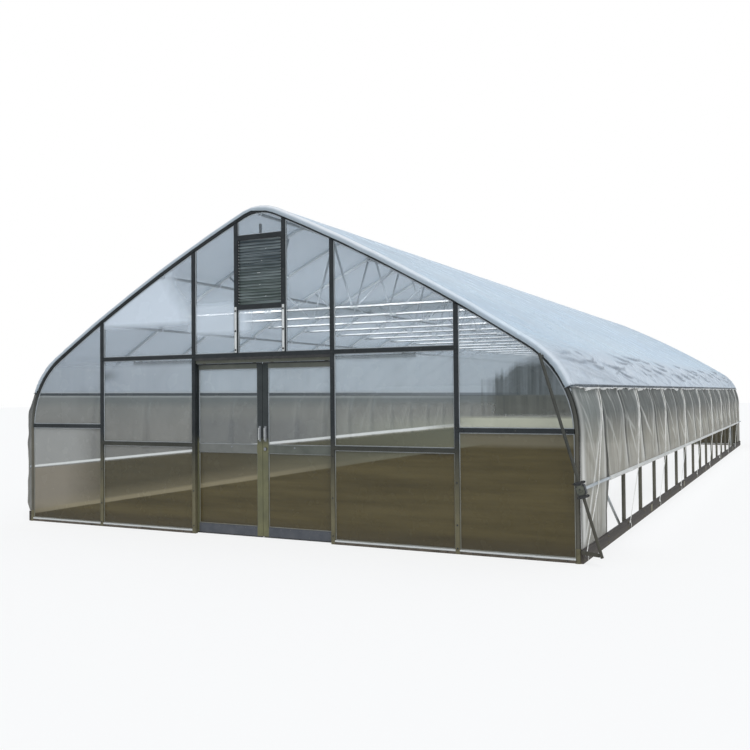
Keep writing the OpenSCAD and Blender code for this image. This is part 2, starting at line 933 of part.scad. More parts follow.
module left_door_panes() {
    at_front() mirror([1, 0, 0]) leaf_panes();
}

module left_door_fittings() {
    at_front() mirror([1, 0, 0]) leaf_fittings();
}

module right_door_frame() {
    at_front() leaf_frame();
}

module right_door_panes() {
    at_front() leaf_panes();
}

module right_door_fittings() {
    at_front() {
        leaf_fittings();
        color(timber_dark) round_lock();
    }
}

ground_posts();
eave_bends();
rafters();
ridge_bends();
collar_ties();
truss_webs();
purlins();
corner_braces();
hip_rails();
film_locks();
base_boards();
roof_film_left();
roof_film_right();
side_curtains();
corner_films();
roll_pipes();
curtain_rolls();
guide_poles();
curtain_gearboxes();
curtain_ropes();
front_studs();
front_header();
front_girts();
front_sills();
front_lower_panels();
front_upper_panels();
front_gable_panels();
front_vent_frame();
front_vent_slats();
back_studs();
back_header();
back_girts();
back_sills();
back_lower_panels();
back_upper_panels();
back_gable_panels();
back_vent_frame();
back_vent_slats();
door_track();
left_door_frame();
left_door_panes();
left_door_fittings();
right_door_frame();
right_door_panes();
right_door_fittings();
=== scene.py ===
from math import asin, atan, atan2, cos, hypot, pi, radians, sin, tan
import bmesh
import bpy
import numpy as np
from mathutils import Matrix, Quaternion, Vector


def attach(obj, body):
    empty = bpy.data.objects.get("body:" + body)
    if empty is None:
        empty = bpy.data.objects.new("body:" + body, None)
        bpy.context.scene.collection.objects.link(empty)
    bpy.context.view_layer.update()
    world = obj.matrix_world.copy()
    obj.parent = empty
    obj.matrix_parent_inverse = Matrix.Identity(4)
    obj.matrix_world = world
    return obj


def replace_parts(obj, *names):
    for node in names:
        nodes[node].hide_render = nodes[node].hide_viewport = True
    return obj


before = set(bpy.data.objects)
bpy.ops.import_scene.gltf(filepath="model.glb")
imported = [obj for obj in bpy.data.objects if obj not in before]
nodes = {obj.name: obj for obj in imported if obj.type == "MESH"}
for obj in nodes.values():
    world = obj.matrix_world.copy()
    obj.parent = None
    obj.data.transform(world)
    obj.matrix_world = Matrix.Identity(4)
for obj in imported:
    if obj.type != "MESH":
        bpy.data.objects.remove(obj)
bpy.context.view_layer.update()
scene = bpy.context.scene
scene.view_settings.view_transform = "Standard"
scene.cycles.transparent_max_bounces = 80
scene.cycles.max_bounces = 10
scene.cycles.use_denoising = True
HOUSE = "greenhouse_frame"
SIDES = ((1, "right"), (-1, "left"))
ENDS = ((-1, "front"), (1, "back"))

# ------------------------------------------------------- sizes, in metres
SPAN, LEG_H, EAVE_R, RIDGE_R, RIDGE_H = 7.924, 1.35, 1.145, 0.575, 4.13
TURN = radians(9)  # the bend of a rafter
BOW_R = 0.0255
BAY, BAYS = 1.219, 18
WALL = BAY * BAYS / 2
BOWS = [k * BAY - WALL for k in range(BAYS + 1)]
FACE = WALL + 0.025  # outer face of the end walls' studs
STUD_X, JAMB_X, VENT_STUD_X = 2.62, 1.035, 0.357
GIRT_Z, OUTER_GIRT_Z, HEADER_Z = 1.145, 1.375, 2.297
HIP_H, ROLL_H = 1.85, 0.78


def mean_slope():
    """Slope and length of a rafter's chord, from repeated trials."""
    top = RIDGE_H - BOW_R
    mean = radians(28)
    for _ in range(12):
        e, r = mean + TURN / 2, mean - TURN / 2
        ex, ez = SPAN / 2 - EAVE_R * (1 - sin(e)), LEG_H + EAVE_R * cos(e)
        rx, rz = RIDGE_R * sin(r), top - RIDGE_R * (1 - cos(r))
        mean = atan((rz - ez) / (ex - rx))
    return mean, hypot(rz - ez, ex - rx)


MEAN, CHORD = mean_slope()
EAVE_A = pi / 2 - MEAN - TURN / 2
RIDGE_A = EAVE_A + TURN
RAFTER_R = CHORD / (2 * sin(TURN / 2))
EAVE_X = SPAN / 2 - EAVE_R
RAFTER_X = EAVE_X - (RAFTER_R - EAVE_R) * cos(EAVE_A)
RAFTER_Z = LEG_H - (RAFTER_R - EAVE_R) * sin(EAVE_A)
RIDGE_Z = RIDGE_H - BOW_R - RIDGE_R
S1 = EAVE_R * EAVE_A
S2 = S1 + RAFTER_R * TURN
S3 = S2 + RIDGE_R * (pi / 2 - RIDGE_A)


def arch(s, off):
    """x and z on the right half of the arch, s metres up the bow's centre line from the
    top of the leg and off metres outside it."""
    s, off = np.broadcast_arrays(np.asarray(s, float), np.asarray(off, float))
    a1 = s / EAVE_R
    a2 = EAVE_A + (s - S1) / RAFTER_R
    a3 = RIDGE_A + (s - S2) / RIDGE_R
    x = np.where(s < S1, EAVE_X + (EAVE_R + off) * np.cos(a1), RAFTER_X + (RAFTER_R + off) * np.cos(a2))
    z = np.where(s < S1, LEG_H + (EAVE_R + off) * np.sin(a1), RAFTER_Z + (RAFTER_R + off) * np.sin(a2))
    x = np.where(s > S2, (RIDGE_R + off) * np.cos(a3), x)
    z = np.where(s > S2, RIDGE_Z + (RIDGE_R + off) * np.sin(a3), z)
    x = np.where(s < 0, SPAN / 2 + off, x)
    z = np.where(s < 0, LEG_H + s, z)
    return x, z


def s_at_z(z):
    """s at a height on the eave bend."""
    return asin((z - LEG_H) / EAVE_R) * EAVE_R


def s_at_x(x):
    """s at a distance from the middle."""
    s = np.linspace(0, S3, 3000)
    return float(np.interp(-abs(x), -arch(s, 0.0)[0], s))


HIP_GAP = 0.0128  # from the bow's face to the middle of the eave rail
HIP_S = EAVE_R * asin((HIP_H - LEG_H) / (EAVE_R + BOW_R + HIP_GAP))
SLOPE = S3 - HIP_S

# ------------------------------------------------------------------ camera
cam = bpy.data.objects.new("camera", bpy.data.cameras.new("camera"))
scene.collection.objects.link(cam)
scene.camera = cam
cam.data.sensor_width = 36
cam.data.lens = 41.9
cam.data.clip_end = 400
yaw, pitch, roll = (radians(v) for v in (26.62, 1.25, -0.52))
ahead = Vector((-sin(yaw) * cos(pitch), cos(yaw) * cos(pitch), sin(pitch)))
cam.rotation_mode = "QUATERNION"
cam.location = (6.175, -20.098, 1.786)
cam.rotation_quaternion = ahead.to_track_quat("-Z", "Y") @ Quaternion((0, 0, 1), roll)

# --------------------------------------------------------------- materials
M = {}


def write(node, inputs):
    """Links each of a node's inputs to a Val, or writes a number or colour there."""
    for k, v in inputs.items():
        if isinstance(v, Val):
            node.id_data.links.new(v.socket, node.inputs[k])
        else:
            node.inputs[k].default_value = (*v, 1) if node.inputs[k].type == "RGBA" else v
    return node


def add(tree, kind, inputs, **props):
    """A new shader node with its properties and inputs."""
    node = tree.nodes.new("ShaderNode" + kind)
    for k, v in props.items():
        setattr(node, k, v)
    return write(node, inputs)


class Val:
    """What a node gives. Arithmetic on it adds the node that works it out."""

    def __init__(self, node, out=0):
        self.tree, self.socket = node.id_data, node.outputs[out]

    def math(self, op, v=0.0):
        return Val(add(self.tree, "Math", {0: self, 1: v}, operation=op))

    def __rsub__(self, v):
        return Val(add(self.tree, "Math", {0: v, 1: self}, operation="SUBTRACT"))

    def span(self, a, b, c=0.0, d=1.0):
        """c up to a, d from b on, and even between them."""
        return Val(add(self.tree, "MapRange", {0: self, 1: a, 2: b, 3: c, 4: d}))

    def within(self, a, b, c, d):
        """A window that opens from a to b and closes from c to d."""
        return self.span(a, b) * self.span(d, c)

    def mix(self, a, b):
        """Colour a where this is 0, colour b where it is 1."""
        return Val(add(self.tree, "Mix", {0: self, 6: a, 7: b}, data_type="RGBA"), 2)


OPERATORS = {"add": "ADD", "sub": "SUBTRACT", "mul": "MULTIPLY", "gt": "GREATER_THAN", "lt": "LESS_THAN"}
for word, op in OPERATORS.items():
    setattr(Val, f"__{word}__", lambda self, v, op=op: self.math(op, v))


def highest(first, *rest):
    for v in rest:
        first = first.math("MAXIMUM", v)
    return first


class Mat:
    """A node material with one Principled shader. paint lays colours over each other."""

    def __init__(self, name, color, rough=0.5, metal=0.0, gloss=0.5):
        M[name] = bpy.data.materials.new(name)
        M[name].use_nodes = True
        self.tree = M[name].node_tree
        self.p = self.tree.nodes["Principled BSDF"]
        self.c = color
        write(self.p, {"Base Color": color, "Roughness": rough, "Metallic": metal, "Specular IOR Level": gloss})
        self.at = Val(add(self.tree, "TexCoord", {}), "Object")
        self.x, self.y, self.z = self.split(self.at)

    def split(self, v):
        n = add(self.tree, "SeparateXYZ", {0: v})
        return Val(n, 0), Val(n, 1), Val(n, 2)

    def attr(self, name):
        return Val(add(self.tree, "Attribute", {}, attribute_name=name), "Fac")

    def noise(self, scale, detail=3.0, rough=0.55, stretch=None, warp=0.0):
        at = Val(add(self.tree, "Mapping", {"Vector": self.at, "Scale": stretch})) if stretch else self.at
        return Val(add(self.tree, "TexNoise", {
            "Vector": at, "Scale": scale, "Detail": detail, "Roughness": rough, "Distortion": warp}))

    def mottle(self, *noise):
        return self.noise(*noise).span(0.3, 0.7)

    def paint(self, share, color):
        self.c = share.mix(self.c, color)
        write(self.p, {"Base Color": self.c})

    def rough(self, scale, detail, low, high):
        write(self.p, {"Roughness": self.noise(scale, detail).span(0.3, 0.7, low, high)})

    def bump(self, height, distance, strength):
        bumps = add(self.tree, "Bump", {"Height": height, "Distance": distance, "Strength": strength})
        write(self.p, {"Normal": Val(bumps)})

    def surface(self, share, a, b):
        """Shows shader a where share is 0, b where it is 1."""
        mixed = add(self.tree, "MixShader", {0: share, 1: Val(a), 2: Val(b)})
        write(self.tree.nodes["Material Output"], {"Surface": Val(mixed)})
        return mixed

    def film(self, solid, back, back_share, clear=(1.0, 1.0, 1.0)):
        """Lets light straight through, tinted by clear, where it isn't solid, and a share
        of the rest diffusely, tinted by back."""
        layer = self.surface(back_share, self.p, add(self.tree, "BsdfTranslucent", {"Color": back}))
        self.surface(solid, add(self.tree, "BsdfTransparent", {"Color": clear}), layer)


def steel(name, dark, light, dust, rough=0.5, metal=0.2, dust_top=1.15, full=0.0, gloss=0.3, ends=None):
    """Weathered tube: mottled, with a finer spangle, and dust that is full up to full and
    gone at dust_top. ends gives the two end bows a darker pair: painted shade, as they stand
    dark against the light while the inner bows are painted lighter."""
    m = Mat(name, dark, rough, metal, gloss)
    blotch = m.noise(3.1, 4, 0.6).span(0.35, 0.7)
    m.paint(blotch, light)
    spangle = Val(add(m.tree, "TexVoronoi", {"Vector": m.at, "Scale": 38.0})).span(0.0, 0.6)
    m.paint(spangle * 0.25, tuple(min(1.0, v * 1.5) for v in light))
    if ends:
        # painted shade: the end bows take the darker pair, with dust low down
        end_shade_and_dust = m.z.span(2.0, 1.3, 0.0, 0.8).mix(blotch.mix(*ends), (0.125, 0.122, 0.1))
        m.paint(m.y.math("ABSOLUTE") > WALL - 0.1, end_shade_and_dust)
    m.paint(m.z.span(full, dust_top, 1.0, 0.0) * m.noise(5.0).span(0.25, 0.75, 0.65, 1.0) * 0.95, dust)
    m.rough(14.0, 3, rough - 0.08, rough + 0.14)
    m.bump(m.noise(60.0, 2), 0.0004, 0.5)
    return m


SLATE = ((0.014, 0.017, 0.018), (0.028, 0.032, 0.034))
DUST = (0.205, 0.186, 0.128)
# dark colour, light colour, dust, roughness, metal, top of the dust
steel("tube_steel", *SLATE, (0.168, 0.15, 0.086), dust_top=1.3, full=0.45, gloss=0.25)
steel("post_steel", *SLATE, (0.125, 0.116, 0.088), dust_top=2.0, full=1.2)
# inner bows painted light grey, end bows painted dark by ends: painted light and shade on one steel
steel("bow_steel", (0.38, 0.42, 0.45), (0.48, 0.52, 0.55), (0.16, 0.145, 0.11), dust_top=1.0, full=0.5, ends=SLATE)
steel("pole_steel", (0.036, 0.038, 0.034), (0.06, 0.06, 0.05), (0.075, 0.068, 0.05), dust_top=1.3, full=0.2)
steel("galvanized", (0.3, 0.33, 0.345), (0.46, 0.49, 0.51), (0.26, 0.245, 0.2), 0.38, 0.4, 0.6)
steel("purlin_steel", (0.1, 0.115, 0.125), (0.16, 0.18, 0.19), DUST, 0.45, 0.3, 0.6)
steel("rail_steel", (0.07, 0.074, 0.058), (0.11, 0.112, 0.088), DUST, 0.5, 0.2, 0.6)
steel("hip_steel", (0.018, 0.022, 0.024), (0.036, 0.041, 0.043), DUST, 0.45, 0.2, 0.6)
steel("channel", (0.13, 0.155, 0.18), (0.2, 0.23, 0.255), (0.2, 0.19, 0.16), 0.4, 0.3, 0.3)
steel("bright_bolt", (0.18, 0.19, 0.2), (0.3, 0.31, 0.32), (0.12, 0.11, 0.09), 0.4, 0.7, 0.5, gloss=0.5)
steel("bright_plate", (0.46, 0.47, 0.46), (0.62, 0.63, 0.61), DUST, 0.4, 0.2, 0.6, gloss=0.5)
steel("bead", (0.25, 0.275, 0.29), (0.36, 0.385, 0.4), (0.16, 0.15, 0.11), 0.4, 0.1, 1.5, full=0.7, gloss=0.5)

m = steel("web_steel", (0.22, 0.25, 0.28), (0.28, 0.31, 0.34), DUST, 0.6, 0.2, 0.6)
m.paint(m.z.span(3.2, 3.9), (0.15, 0.175, 0.195))

# ties: painted light and shade, near-white steel with painted shade on the underside
m = steel("tie_steel", (0.9, 0.92, 0.93), (0.96, 0.97, 0.98), DUST, 0.35, 0.2, 0.6, gloss=0.6)
up = m.split(Val(add(m.tree, "NewGeometry", {}), "Normal"))[2]
m.paint(up.span(-0.05, -0.4), (0.09, 0.1, 0.105))

# sill: a bright upper lip over a face splashed with soil
m = Mat("sill", (0.58, 0.59, 0.58), metal=0.3, gloss=0.3)
m.paint((m.z + m.noise(4.0, 4) * 0.012).span(0.04, 0.036),
        m.mottle(7.0, 5).mix((0.055, 0.045, 0.034), (0.13, 0.11, 0.085)))
m.rough(14.0, 3, 0.32, 0.54)
m.bump(m.noise(60.0, 2), 0.0004, 0.5)

# door leaves: dark stiles, olive and dusty below, pale middle rails and a blue-grey bottom rail
m = steel("leaf_steel", (0.022, 0.027, 0.027), (0.038, 0.044, 0.044), (0.18, 0.174, 0.09), 0.5, 0.2, 1.26, full=1.16)
patch = m.mottle(6.0, 4)
across = m.x.math("ABSOLUTE")
rail = (across > 0.0855) * (across < 0.9925)
m.paint(rail * (m.z > 1.0) * (m.z < 1.2), (m.x > 0.0).mix(
    patch.mix((0.145, 0.15, 0.138), (0.185, 0.19, 0.175)), patch.mix((0.085, 0.092, 0.078), (0.118, 0.126, 0.108))))
m.paint(rail * (m.z < 0.14), patch.mix((0.07, 0.076, 0.088), (0.105, 0.11, 0.12)))
m.paint(rail * (m.z > 2.12), patch.mix((0.095, 0.102, 0.085), (0.13, 0.135, 0.112)))

# door fittings: dark hangers, pale grips
m = steel("door_fitting", (0.018, 0.019, 0.02), (0.045, 0.044, 0.042), DUST, 0.45, 0.2, 0.3)
m.paint((m.z > 1.19) * (m.z < 1.41), m.mottle(20.0, 3).mix((0.34, 0.35, 0.34), (0.52, 0.53, 0.52)))

m = Mat("dark_fitting", (0.016, 0.017, 0.018))
m.paint(m.noise(9.0, 4).span(0.4, 0.75), (0.045, 0.043, 0.04))
m.rough(30.0, 3, 0.38, 0.6)
m.bump(m.noise(160.0, 2), 0.0004, 0.6)

m = Mat("dark_board", (0.016, 0.013, 0.011), 0.8)
grain = m.noise(6.0, 6, 0.65, (9.0, 0.6, 14.0), 0.6)
m.paint(grain.span(0.3, 0.7), (0.062, 0.05, 0.04))
m.paint(m.z.span(0.0, 0.09, 1.0, 0.0) * 0.6, (0.1, 0.085, 0.065))
m.bump(grain, 0.003, 0.7)

m = Mat("rope", (0.93, 0.92, 0.88), 0.85)
m.paint(m.noise(11.0, 4).span(0.35, 0.7), (0.7, 0.69, 0.64))
twist = add(m.tree, "TexWave", {"Vector": m.at, "Scale": 900.0, "Distortion": 1.5}, bands_direction="Z")
m.bump(Val(twist, 1), 0.0006, 0.5)

# double film over the roof: pale blue-white, glossy, nearly opaque from outside
m = Mat("roof_film", (0.67, 0.85, 1.0), gloss=0.15)
m.paint(m.mottle(0.55, 4, 0.6, (1.0, 0.45, 1.0)), (0.74, 0.9, 1.0))
m.paint(m.z.span(3.2, 4.15, 0.0, 0.45), (0.8, 0.88, 0.96))
m.paint((m.z + m.noise(2.0) * 0.35).span(2.62, 2.38, 0.0, 0.75),
        m.noise(4.0, 4).span(0.35, 0.65).mix((0.68, 0.73, 0.8), (0.8, 0.84, 0.89)))
edge = m.attr("edge")
# painted highlight: the rolled edge is near-white, whiter higher up and on the left slope
m.paint(edge * highest(m.z.span(1.9, 3.7, 0.2, 0.97), m.x.span(0.0, -1.0)), (0.97, 0.98, 0.99))
# painted shade where the film tucks under the rolled edge
m.paint(m.attr("tuck") * 0.9, (0.38, 0.45, 0.5))
# painted shade along the roof's creases
m.paint(m.attr("fold"), (0.04, 0.058, 0.095))
m.rough(2.3, 4, 0.16, 0.32)
m.bump(m.noise(7.0, 5, 0.6, (1.0, 0.35, 1.0)) + m.noise(38.0) * 0.12, 0.01, 0.012)
m.film(edge.span(0.0, 1.0, 0.9, 0.98), (0.88, 0.93, 0.97), 0.38)

m = Mat("inner_film", (0.36, 0.41, 0.46), 0.25)
m.paint(m.mottle(1.2, 4), (0.44, 0.49, 0.54))
m.bump(m.noise(5.0, 4, 0.55, (1.0, 0.4, 1.0)), 0.012, 0.4)
m.film(0.62, (0.5, 0.56, 0.62), 0.35)

# creased side curtain: grey, warmer low down, darker in painted shade where a bow touches it and beyond, with painted
# highlights on its folds, before the bows and along the ropes
m = Mat("curtain_film", (0.28, 0.285, 0.275), gloss=0.06)
fold = m.attr("fold")
wrinkle = m.noise(5.0, 5, 0.65, (1.0, 3.2, 0.5))
streak = wrinkle.span(0.3, 0.72)
bright = highest(m.y.span(-9.0, -10.4), m.y.span(-5.5, -8.0, 0.0, 0.22))
m.c = streak.mix(bright.mix((0.04, 0.045, 0.043), (0.15, 0.166, 0.157)),
                 bright.mix((0.115, 0.123, 0.116), (0.265, 0.282, 0.266)))
m.paint(m.z.span(1.55, 1.15, 0.0, 0.8), streak.mix((0.315, 0.29, 0.236), (0.48, 0.448, 0.372)))
m.paint(m.y.span(0.0, 8.0, 0.0, 0.3), (0.09, 0.088, 0.078))
m.paint(m.z.span(0.7, 0.15, 0.0, 0.45), (0.105, 0.1, 0.086))
# painted shade at each bow and beyond it
m.paint(m.attr("touch") * 0.92, (0.022, 0.025, 0.024))
# painted highlights on the folds, in front of the bows and along the ropes
m.paint(fold, (0.95, 0.94, 0.89))
m.rough(6.0, 3, 0.4, 0.6)
m.bump(wrinkle + m.noise(30.0, 4, 0.55, (1.0, 1.0, 0.4)) * 0.3, 0.01, 0.6)
m.film(fold.span(0.0, 1.0, 0.95, 0.99), (0.33, 0.33, 0.3), 0.22)

# wound or crumpled film, several layers thick
m = Mat("wound_film", (0.6, 0.6, 0.57), 0.3)
m.paint(m.mottle(8.0, 5, 0.6, (1.0, 0.4, 1.0)), (0.9, 0.89, 0.85))
m.bump(m.noise(26.0, 5, 0.6, (1.0, 0.35, 1.0)), 0.006, 0.7)
m.film(0.93, (0.82, 0.81, 0.78), 0.3)


def polycarbonate():
    """Fluted twin-wall sheet: upright ribs and a smoky tint, with what shows blurred through it."""
    m = Mat("polycarbonate", (0.36, 0.4, 0.43), gloss=0.4)
    x, z = m.x, m.z
    rib = x.math("PINGPONG", 0.0055).span(0.0, 0.0055).span(0.72, 0.95)
    cloud = m.mottle(0.8, 4, 0.6, (1.0, 1.0, 0.6))
    flute = m.noise(16.0, 3, 0.6, (1.0, 1.0, 0.035)).span(0.35, 0.68)

    m.c = x.span(-1.5, -0.8).mix(cloud.mix((0.39, 0.435, 0.475), (0.45, 0.495, 0.535)),
                                 cloud.mix((0.44, 0.5, 0.54), (0.5, 0.56, 0.595)))
    m.paint(flute * 0.16, (0.56, 0.6, 0.62))
    m.paint(rib * 0.14, (0.62, 0.66, 0.69))
    # dark smudges, seen as bundles of dark flutes: faint ones, one by the right eave that
    # leans in as it rises, and one by the left stud
    smudge = m.noise(0.55, 3, 0.55, (1.6, 1.0, 1.0)).span(0.53, 0.68) * 0.35 * flute.span(0.0, 1.0, 0.45, 1.0)
    lean = x - highest(z - 1.92, 0.0) * 1.9 + (flute - 0.5) * 0.16
    outer = lean.span(2.9, 3.1) * x.span(3.98, 3.6, 0.7, 1.0) * z.within(1.53, 1.56, 2.06, 2.24)
    spot = x.within(-2.62, -2.61, -2.5, -2.28) * z.within(1.96, 2.05, 2.08, 2.16)
    dark = highest(smudge, outer * flute.span(0.0, 1.0, 0.72, 1.0), spot * 0.5)
    m.paint(dark, (0.07, 0.083, 0.081))
    # pale patches of sky in the left gable, and a dim one right of the middle
    slant = x + z * 0.8 + (cloud - 0.5) * 0.5
    pale = x.within(-1.3, -1.0, -0.25, 0.05) * z.within(2.48, 2.62, 2.92, 3.05)
    patch = highest(z.span(2.64, 2.78) * slant.span(1.75, 1.05),
                    x.span(-1.0, -1.3, 0.0, 0.22) * z.span(2.2, 2.4), pale * 0.8)
    dim = x.span(0.05, 0.35) * z.within(2.62, 2.76, 2.84, 2.93)
    m.paint(patch, (0.8, 0.87, 0.94))
    m.paint(dim, (0.21, 0.245, 0.26))
    # heights along three lines in the house: the far roll, the bank of soil and the far eave rail
    wander = (m.noise(0.9, 4, 0.6, (0.5, 1.0, 3.0)) - 0.5) * 0.02
    level = z - x * 0.0985 + wander
    bank = z - x * 0.162 + wander * 1.5
    hip = z + (x + 2.6) * 0.0072
    grey = hip.span(1.812, 1.796)
    # soil: brown below the bank line, sandy on it, greener to the right above it
    soil = level.span(1.16, 1.138) * (1.0 - (x > STUD_X + 0.01) * (z > OUTER_GIRT_Z))
    layers = m.noise(1.5, 5, 0.65, (0.3, 1.0, 5.0)).span(0.34, 0.66)
    field = x.span(-0.5, 2.6).mix(layers.mix((0.064, 0.053, 0.024), (0.094, 0.078, 0.038)), (0.15, 0.155, 0.105))
    left_bay = x.span(-2.62, -2.64) * x.span(-2.7, -3.35, 0.3, 0.95)
    brown = layers.mix((0.06, 0.043, 0.008), (0.116, 0.088, 0.028))
    brown = bank.span(0.742, 0.756).mix(brown, left_bay.mix(field, (0.31, 0.272, 0.212)))
    sand = highest(bank.span(0.835, 0.785), bank.span(0.96, 0.8, 0.0, 0.45))
    sand = bank.span(0.738, 0.752) * sand * x.span(1.2, -0.2, 0.25, 1.0)
    brown = (sand * 0.8).mix(brown, (0.36, 0.305, 0.185))
    near_girt = x.span(2.62, 2.8, 0.5, 1.0) * x.span(2.62, 2.63) * (z + wander * 2.0).span(1.18, 1.23)
    brown = (near_girt * 0.95).mix(brown, (0.18, 0.157, 0.098))
    brown = z.span(0.25, 0.05, 0.0, 0.6).mix(brown, (0.06, 0.046, 0.028))
    # the far curtain above the soil, in bands that pale downwards
    haze = z + wander * 3.0
    shade = haze.span(1.72, 1.62).mix(cloud.mix((0.14, 0.158, 0.152), (0.185, 0.202, 0.192)),
                                      cloud.mix((0.215, 0.214, 0.195), (0.29, 0.286, 0.258)))
    low = x.span(-0.95, -1.05).mix(cloud.mix((0.165, 0.165, 0.16), (0.215, 0.215, 0.208)),
                                   cloud.mix((0.235, 0.226, 0.205), (0.285, 0.275, 0.25)))
    shade = haze.span(1.56, 1.42).mix(shade, x.span(0.5, 2.2).mix(low, (0.34, 0.345, 0.28)))
    left_end = x.span(-2.64, -2.65) * x.span(-2.7, -3.15, 0.08, 1.0) * z.span(1.4, 1.36, 0.22, 1.0)
    m.paint(grey * 0.92, left_end.mix(shade, (0.47, 0.465, 0.445)))
    m.paint(outer * grey * 0.85, flute.mix((0.058, 0.062, 0.05), (0.12, 0.125, 0.104)))
    glow = x.span(2.6, 2.85, 0.7, 1.0) * x.span(2.63, 2.64) * z.within(1.38, 1.39, 1.505, 1.535)
    m.paint(glow * 0.95, (0.56, 0.56, 0.44))
    # the far eave rail is a dark line between two pale ones, the far roll a white one
    inwards = x.span(2.6, 0.2, 0.65, 1.0)
    rims = hip.within(1.762, 1.78, 1.845, 1.86) * x.span(2.62, 2.6) * inwards
    rail = hip.within(1.792, 1.8, 1.828, 1.836) * x.span(3.5, 2.9) * inwards
    white = level.within(1.156, 1.164, 1.188, 1.196) * x.span(2.75, 2.2)
    m.paint(rims * 0.45, (0.5, 0.53, 0.53))
    m.paint(rail * 0.95, (0.026, 0.034, 0.038))
    m.paint(soil, brown)
    m.paint(white * 0.9, (0.86, 0.87, 0.84))
    veil = x.span(1.2, 1.8) * z.within(1.6, 1.7, 1.86, 1.92)
    solid = highest(cloud * 0.06 + z.span(2.28, 2.16, 0.14, 0.56), rail * 0.85, rims * 0.65, white * 0.9,
                    veil * 0.85, highest(dark, outer, glow * 0.9) * 0.9, patch * 0.74, dim * 0.36, soil * 0.87)
    clear = z.span(2.4, 2.0).mix((0.97, 0.975, 0.98), x.span(-1.4, -0.6).mix((0.94, 0.95, 0.96), (1.0, 1.0, 1.0)))
    clear = grey.mix(clear, x.span(0.8, 1.2).mix((0.8, 0.8, 0.765), (0.92, 0.92, 0.88)))
    m.rough(4.0, 3, 0.16, 0.32)
    m.bump(rib + flute * 0.6, 0.0012, 0.3)
    m.film(solid, (0.42, 0.46, 0.49), 0.2, soil.mix(clear, (0.35, 0.32, 0.235)))


polycarbonate()

# vent blades: painted shade in the slot at the lip of each, and a streaky painted sheen
VENT_LOW, VENT_TOP, VENT_EDGE, BLADES = 2.92, 3.76, 0.01, 22
PITCH = (VENT_TOP - VENT_LOW - 2 * VENT_EDGE) / BLADES
m = Mat("vent_slate", (0.05, 0.07, 0.07), metal=0.3)
m.c = m.z.span(3.55, 3.15).mix((0.068, 0.088, 0.1), (0.085, 0.112, 0.1))
# a streaky painted sheen
m.paint(m.noise(6.0, 3, 0.55, (0.28, 1.0, 4.5)).span(0.42, 0.7), (0.22, 0.26, 0.26))
# painted shade in the slot at each blade's lip
blade = (m.z - (VENT_LOW + VENT_EDGE)).math("DIVIDE", PITCH).math("FRACT")
m.paint(highest(blade.span(0.2, 0.06), blade.span(0.9, 0.98)), (0.014, 0.02, 0.021))
m.rough(9.0, 3, 0.28, 0.5)
m.bump(m.noise(25.0, 3, 0.55, (0.2, 1.0, 1.0)), 0.002, 0.4)

# ------------------------------------------------------------ CAD finishes
FINISH = {
    "post_steel": "ground_posts", "bow_steel": "eave_bends rafters ridge_bends", "tie_steel": "collar_ties",
    "web_steel": "truss_webs", "purlin_steel": "purlins", "galvanized": "corner_braces roll_pipes",
    "pole_steel": "guide_poles", "hip_steel": "hip_rails", "channel": "film_locks", "rail_steel": "door_track",
    "roof_film": "roof_film_left roof_film_right", "curtain_film": "side_curtains corner_films",
    "wound_film": "curtain_rolls", "dark_board": "base_boards", "rope": "curtain_ropes",
    "dark_fitting": "curtain_gearboxes", "leaf_steel": "left_door_frame right_door_frame",
    "door_fitting": "left_door_fittings right_door_fittings"}
finish_of = {node: finish for finish, names in FINISH.items() for node in names.split()}
ENDINGS = {"sills": "sill", "panels": "polycarbonate", "panes": "polycarbonate", "slats": "vent_slate"}
for name, o in nodes.items():
    finish = finish_of.get(name) or ENDINGS.get(name.split("_")[-1], "tube_steel")
    o.data.materials.clear()
    o.data.materials.append(M[finish])

# ---------------------------------------------------------- floor and light
bpy.ops.mesh.primitive_plane_add(size=240, location=(0, 0, -0.001))
floor = bpy.context.object
floor.name = "floor"
m = Mat("floor", (0.8, 0.8, 0.79), 0.9)
path = add(m.tree, "LightPath", {})
seen = highest(*(Val(path, f"Is {ray} Ray") for ray in ("Camera", "Glossy", "Transmission")))
m.surface(seen * 0.72, m.p, add(m.tree, "Emission", {"Color": (1, 1, 1), "Strength": 1.0}))
floor.data.materials.append(M["floor"])

world = bpy.data.worlds.new("world")
scene.world = world
world.use_nodes = True
tree = world.node_tree
sky = tree.nodes["Background"]
write(sky, {"Color": (0.86, 0.92, 1.0), "Strength": 0.75})
plain = add(tree, "Background", {"Color": (1, 1, 1), "Strength": 1.0})
seen = Val(add(tree, "LightPath", {}), "Is Camera Ray")
mixed = add(tree, "MixShader", {0: seen, 1: Val(sky), 2: Val(plain)})
write(tree.nodes["World Output"], {"Surface": Val(mixed)})


def lamp(name, kind, energy, toward, place=(0, 0, 0), **props):
    light = bpy.data.lights.new(name, kind)
    light.energy = energy
    for k, v in props.items():
        setattr(light, k, v)
    o = bpy.data.objects.new(name, light)
    o.location = place
    o.rotation_mode = "QUATERNION"
    o.rotation_quaternion = Vector(toward).to_track_quat("-Z", "Y")
    o.visible_camera = False
    scene.collection.objects.link(o)


lamp("key_light", "SUN", 1.5, (-0.45, 0.55, -1.0), angle=radians(30))
# wide lamps under the slopes and behind the gable stand for the daylight that thin film lets in
MID_A = EAVE_A + TURN / 2
lamp_x, lamp_z = (float(v) for v in arch((S1 + S2) / 2, -0.13))
for side in (1, -1):
    lamp("slope_light", "AREA", 190, (-side * cos(MID_A), 0, -sin(MID_A)), (side * lamp_x, 0, lamp_z),
         shape="RECTANGLE", size=2 * WALL - 1.0, size_y=2.6, spread=pi)
lamp("gable_light", "AREA", 28, (0, 1, 0), (0, -WALL + 0.3, 2.75),
     shape="RECTANGLE", size=4.0, size_y=0.6, spread=radians(60))


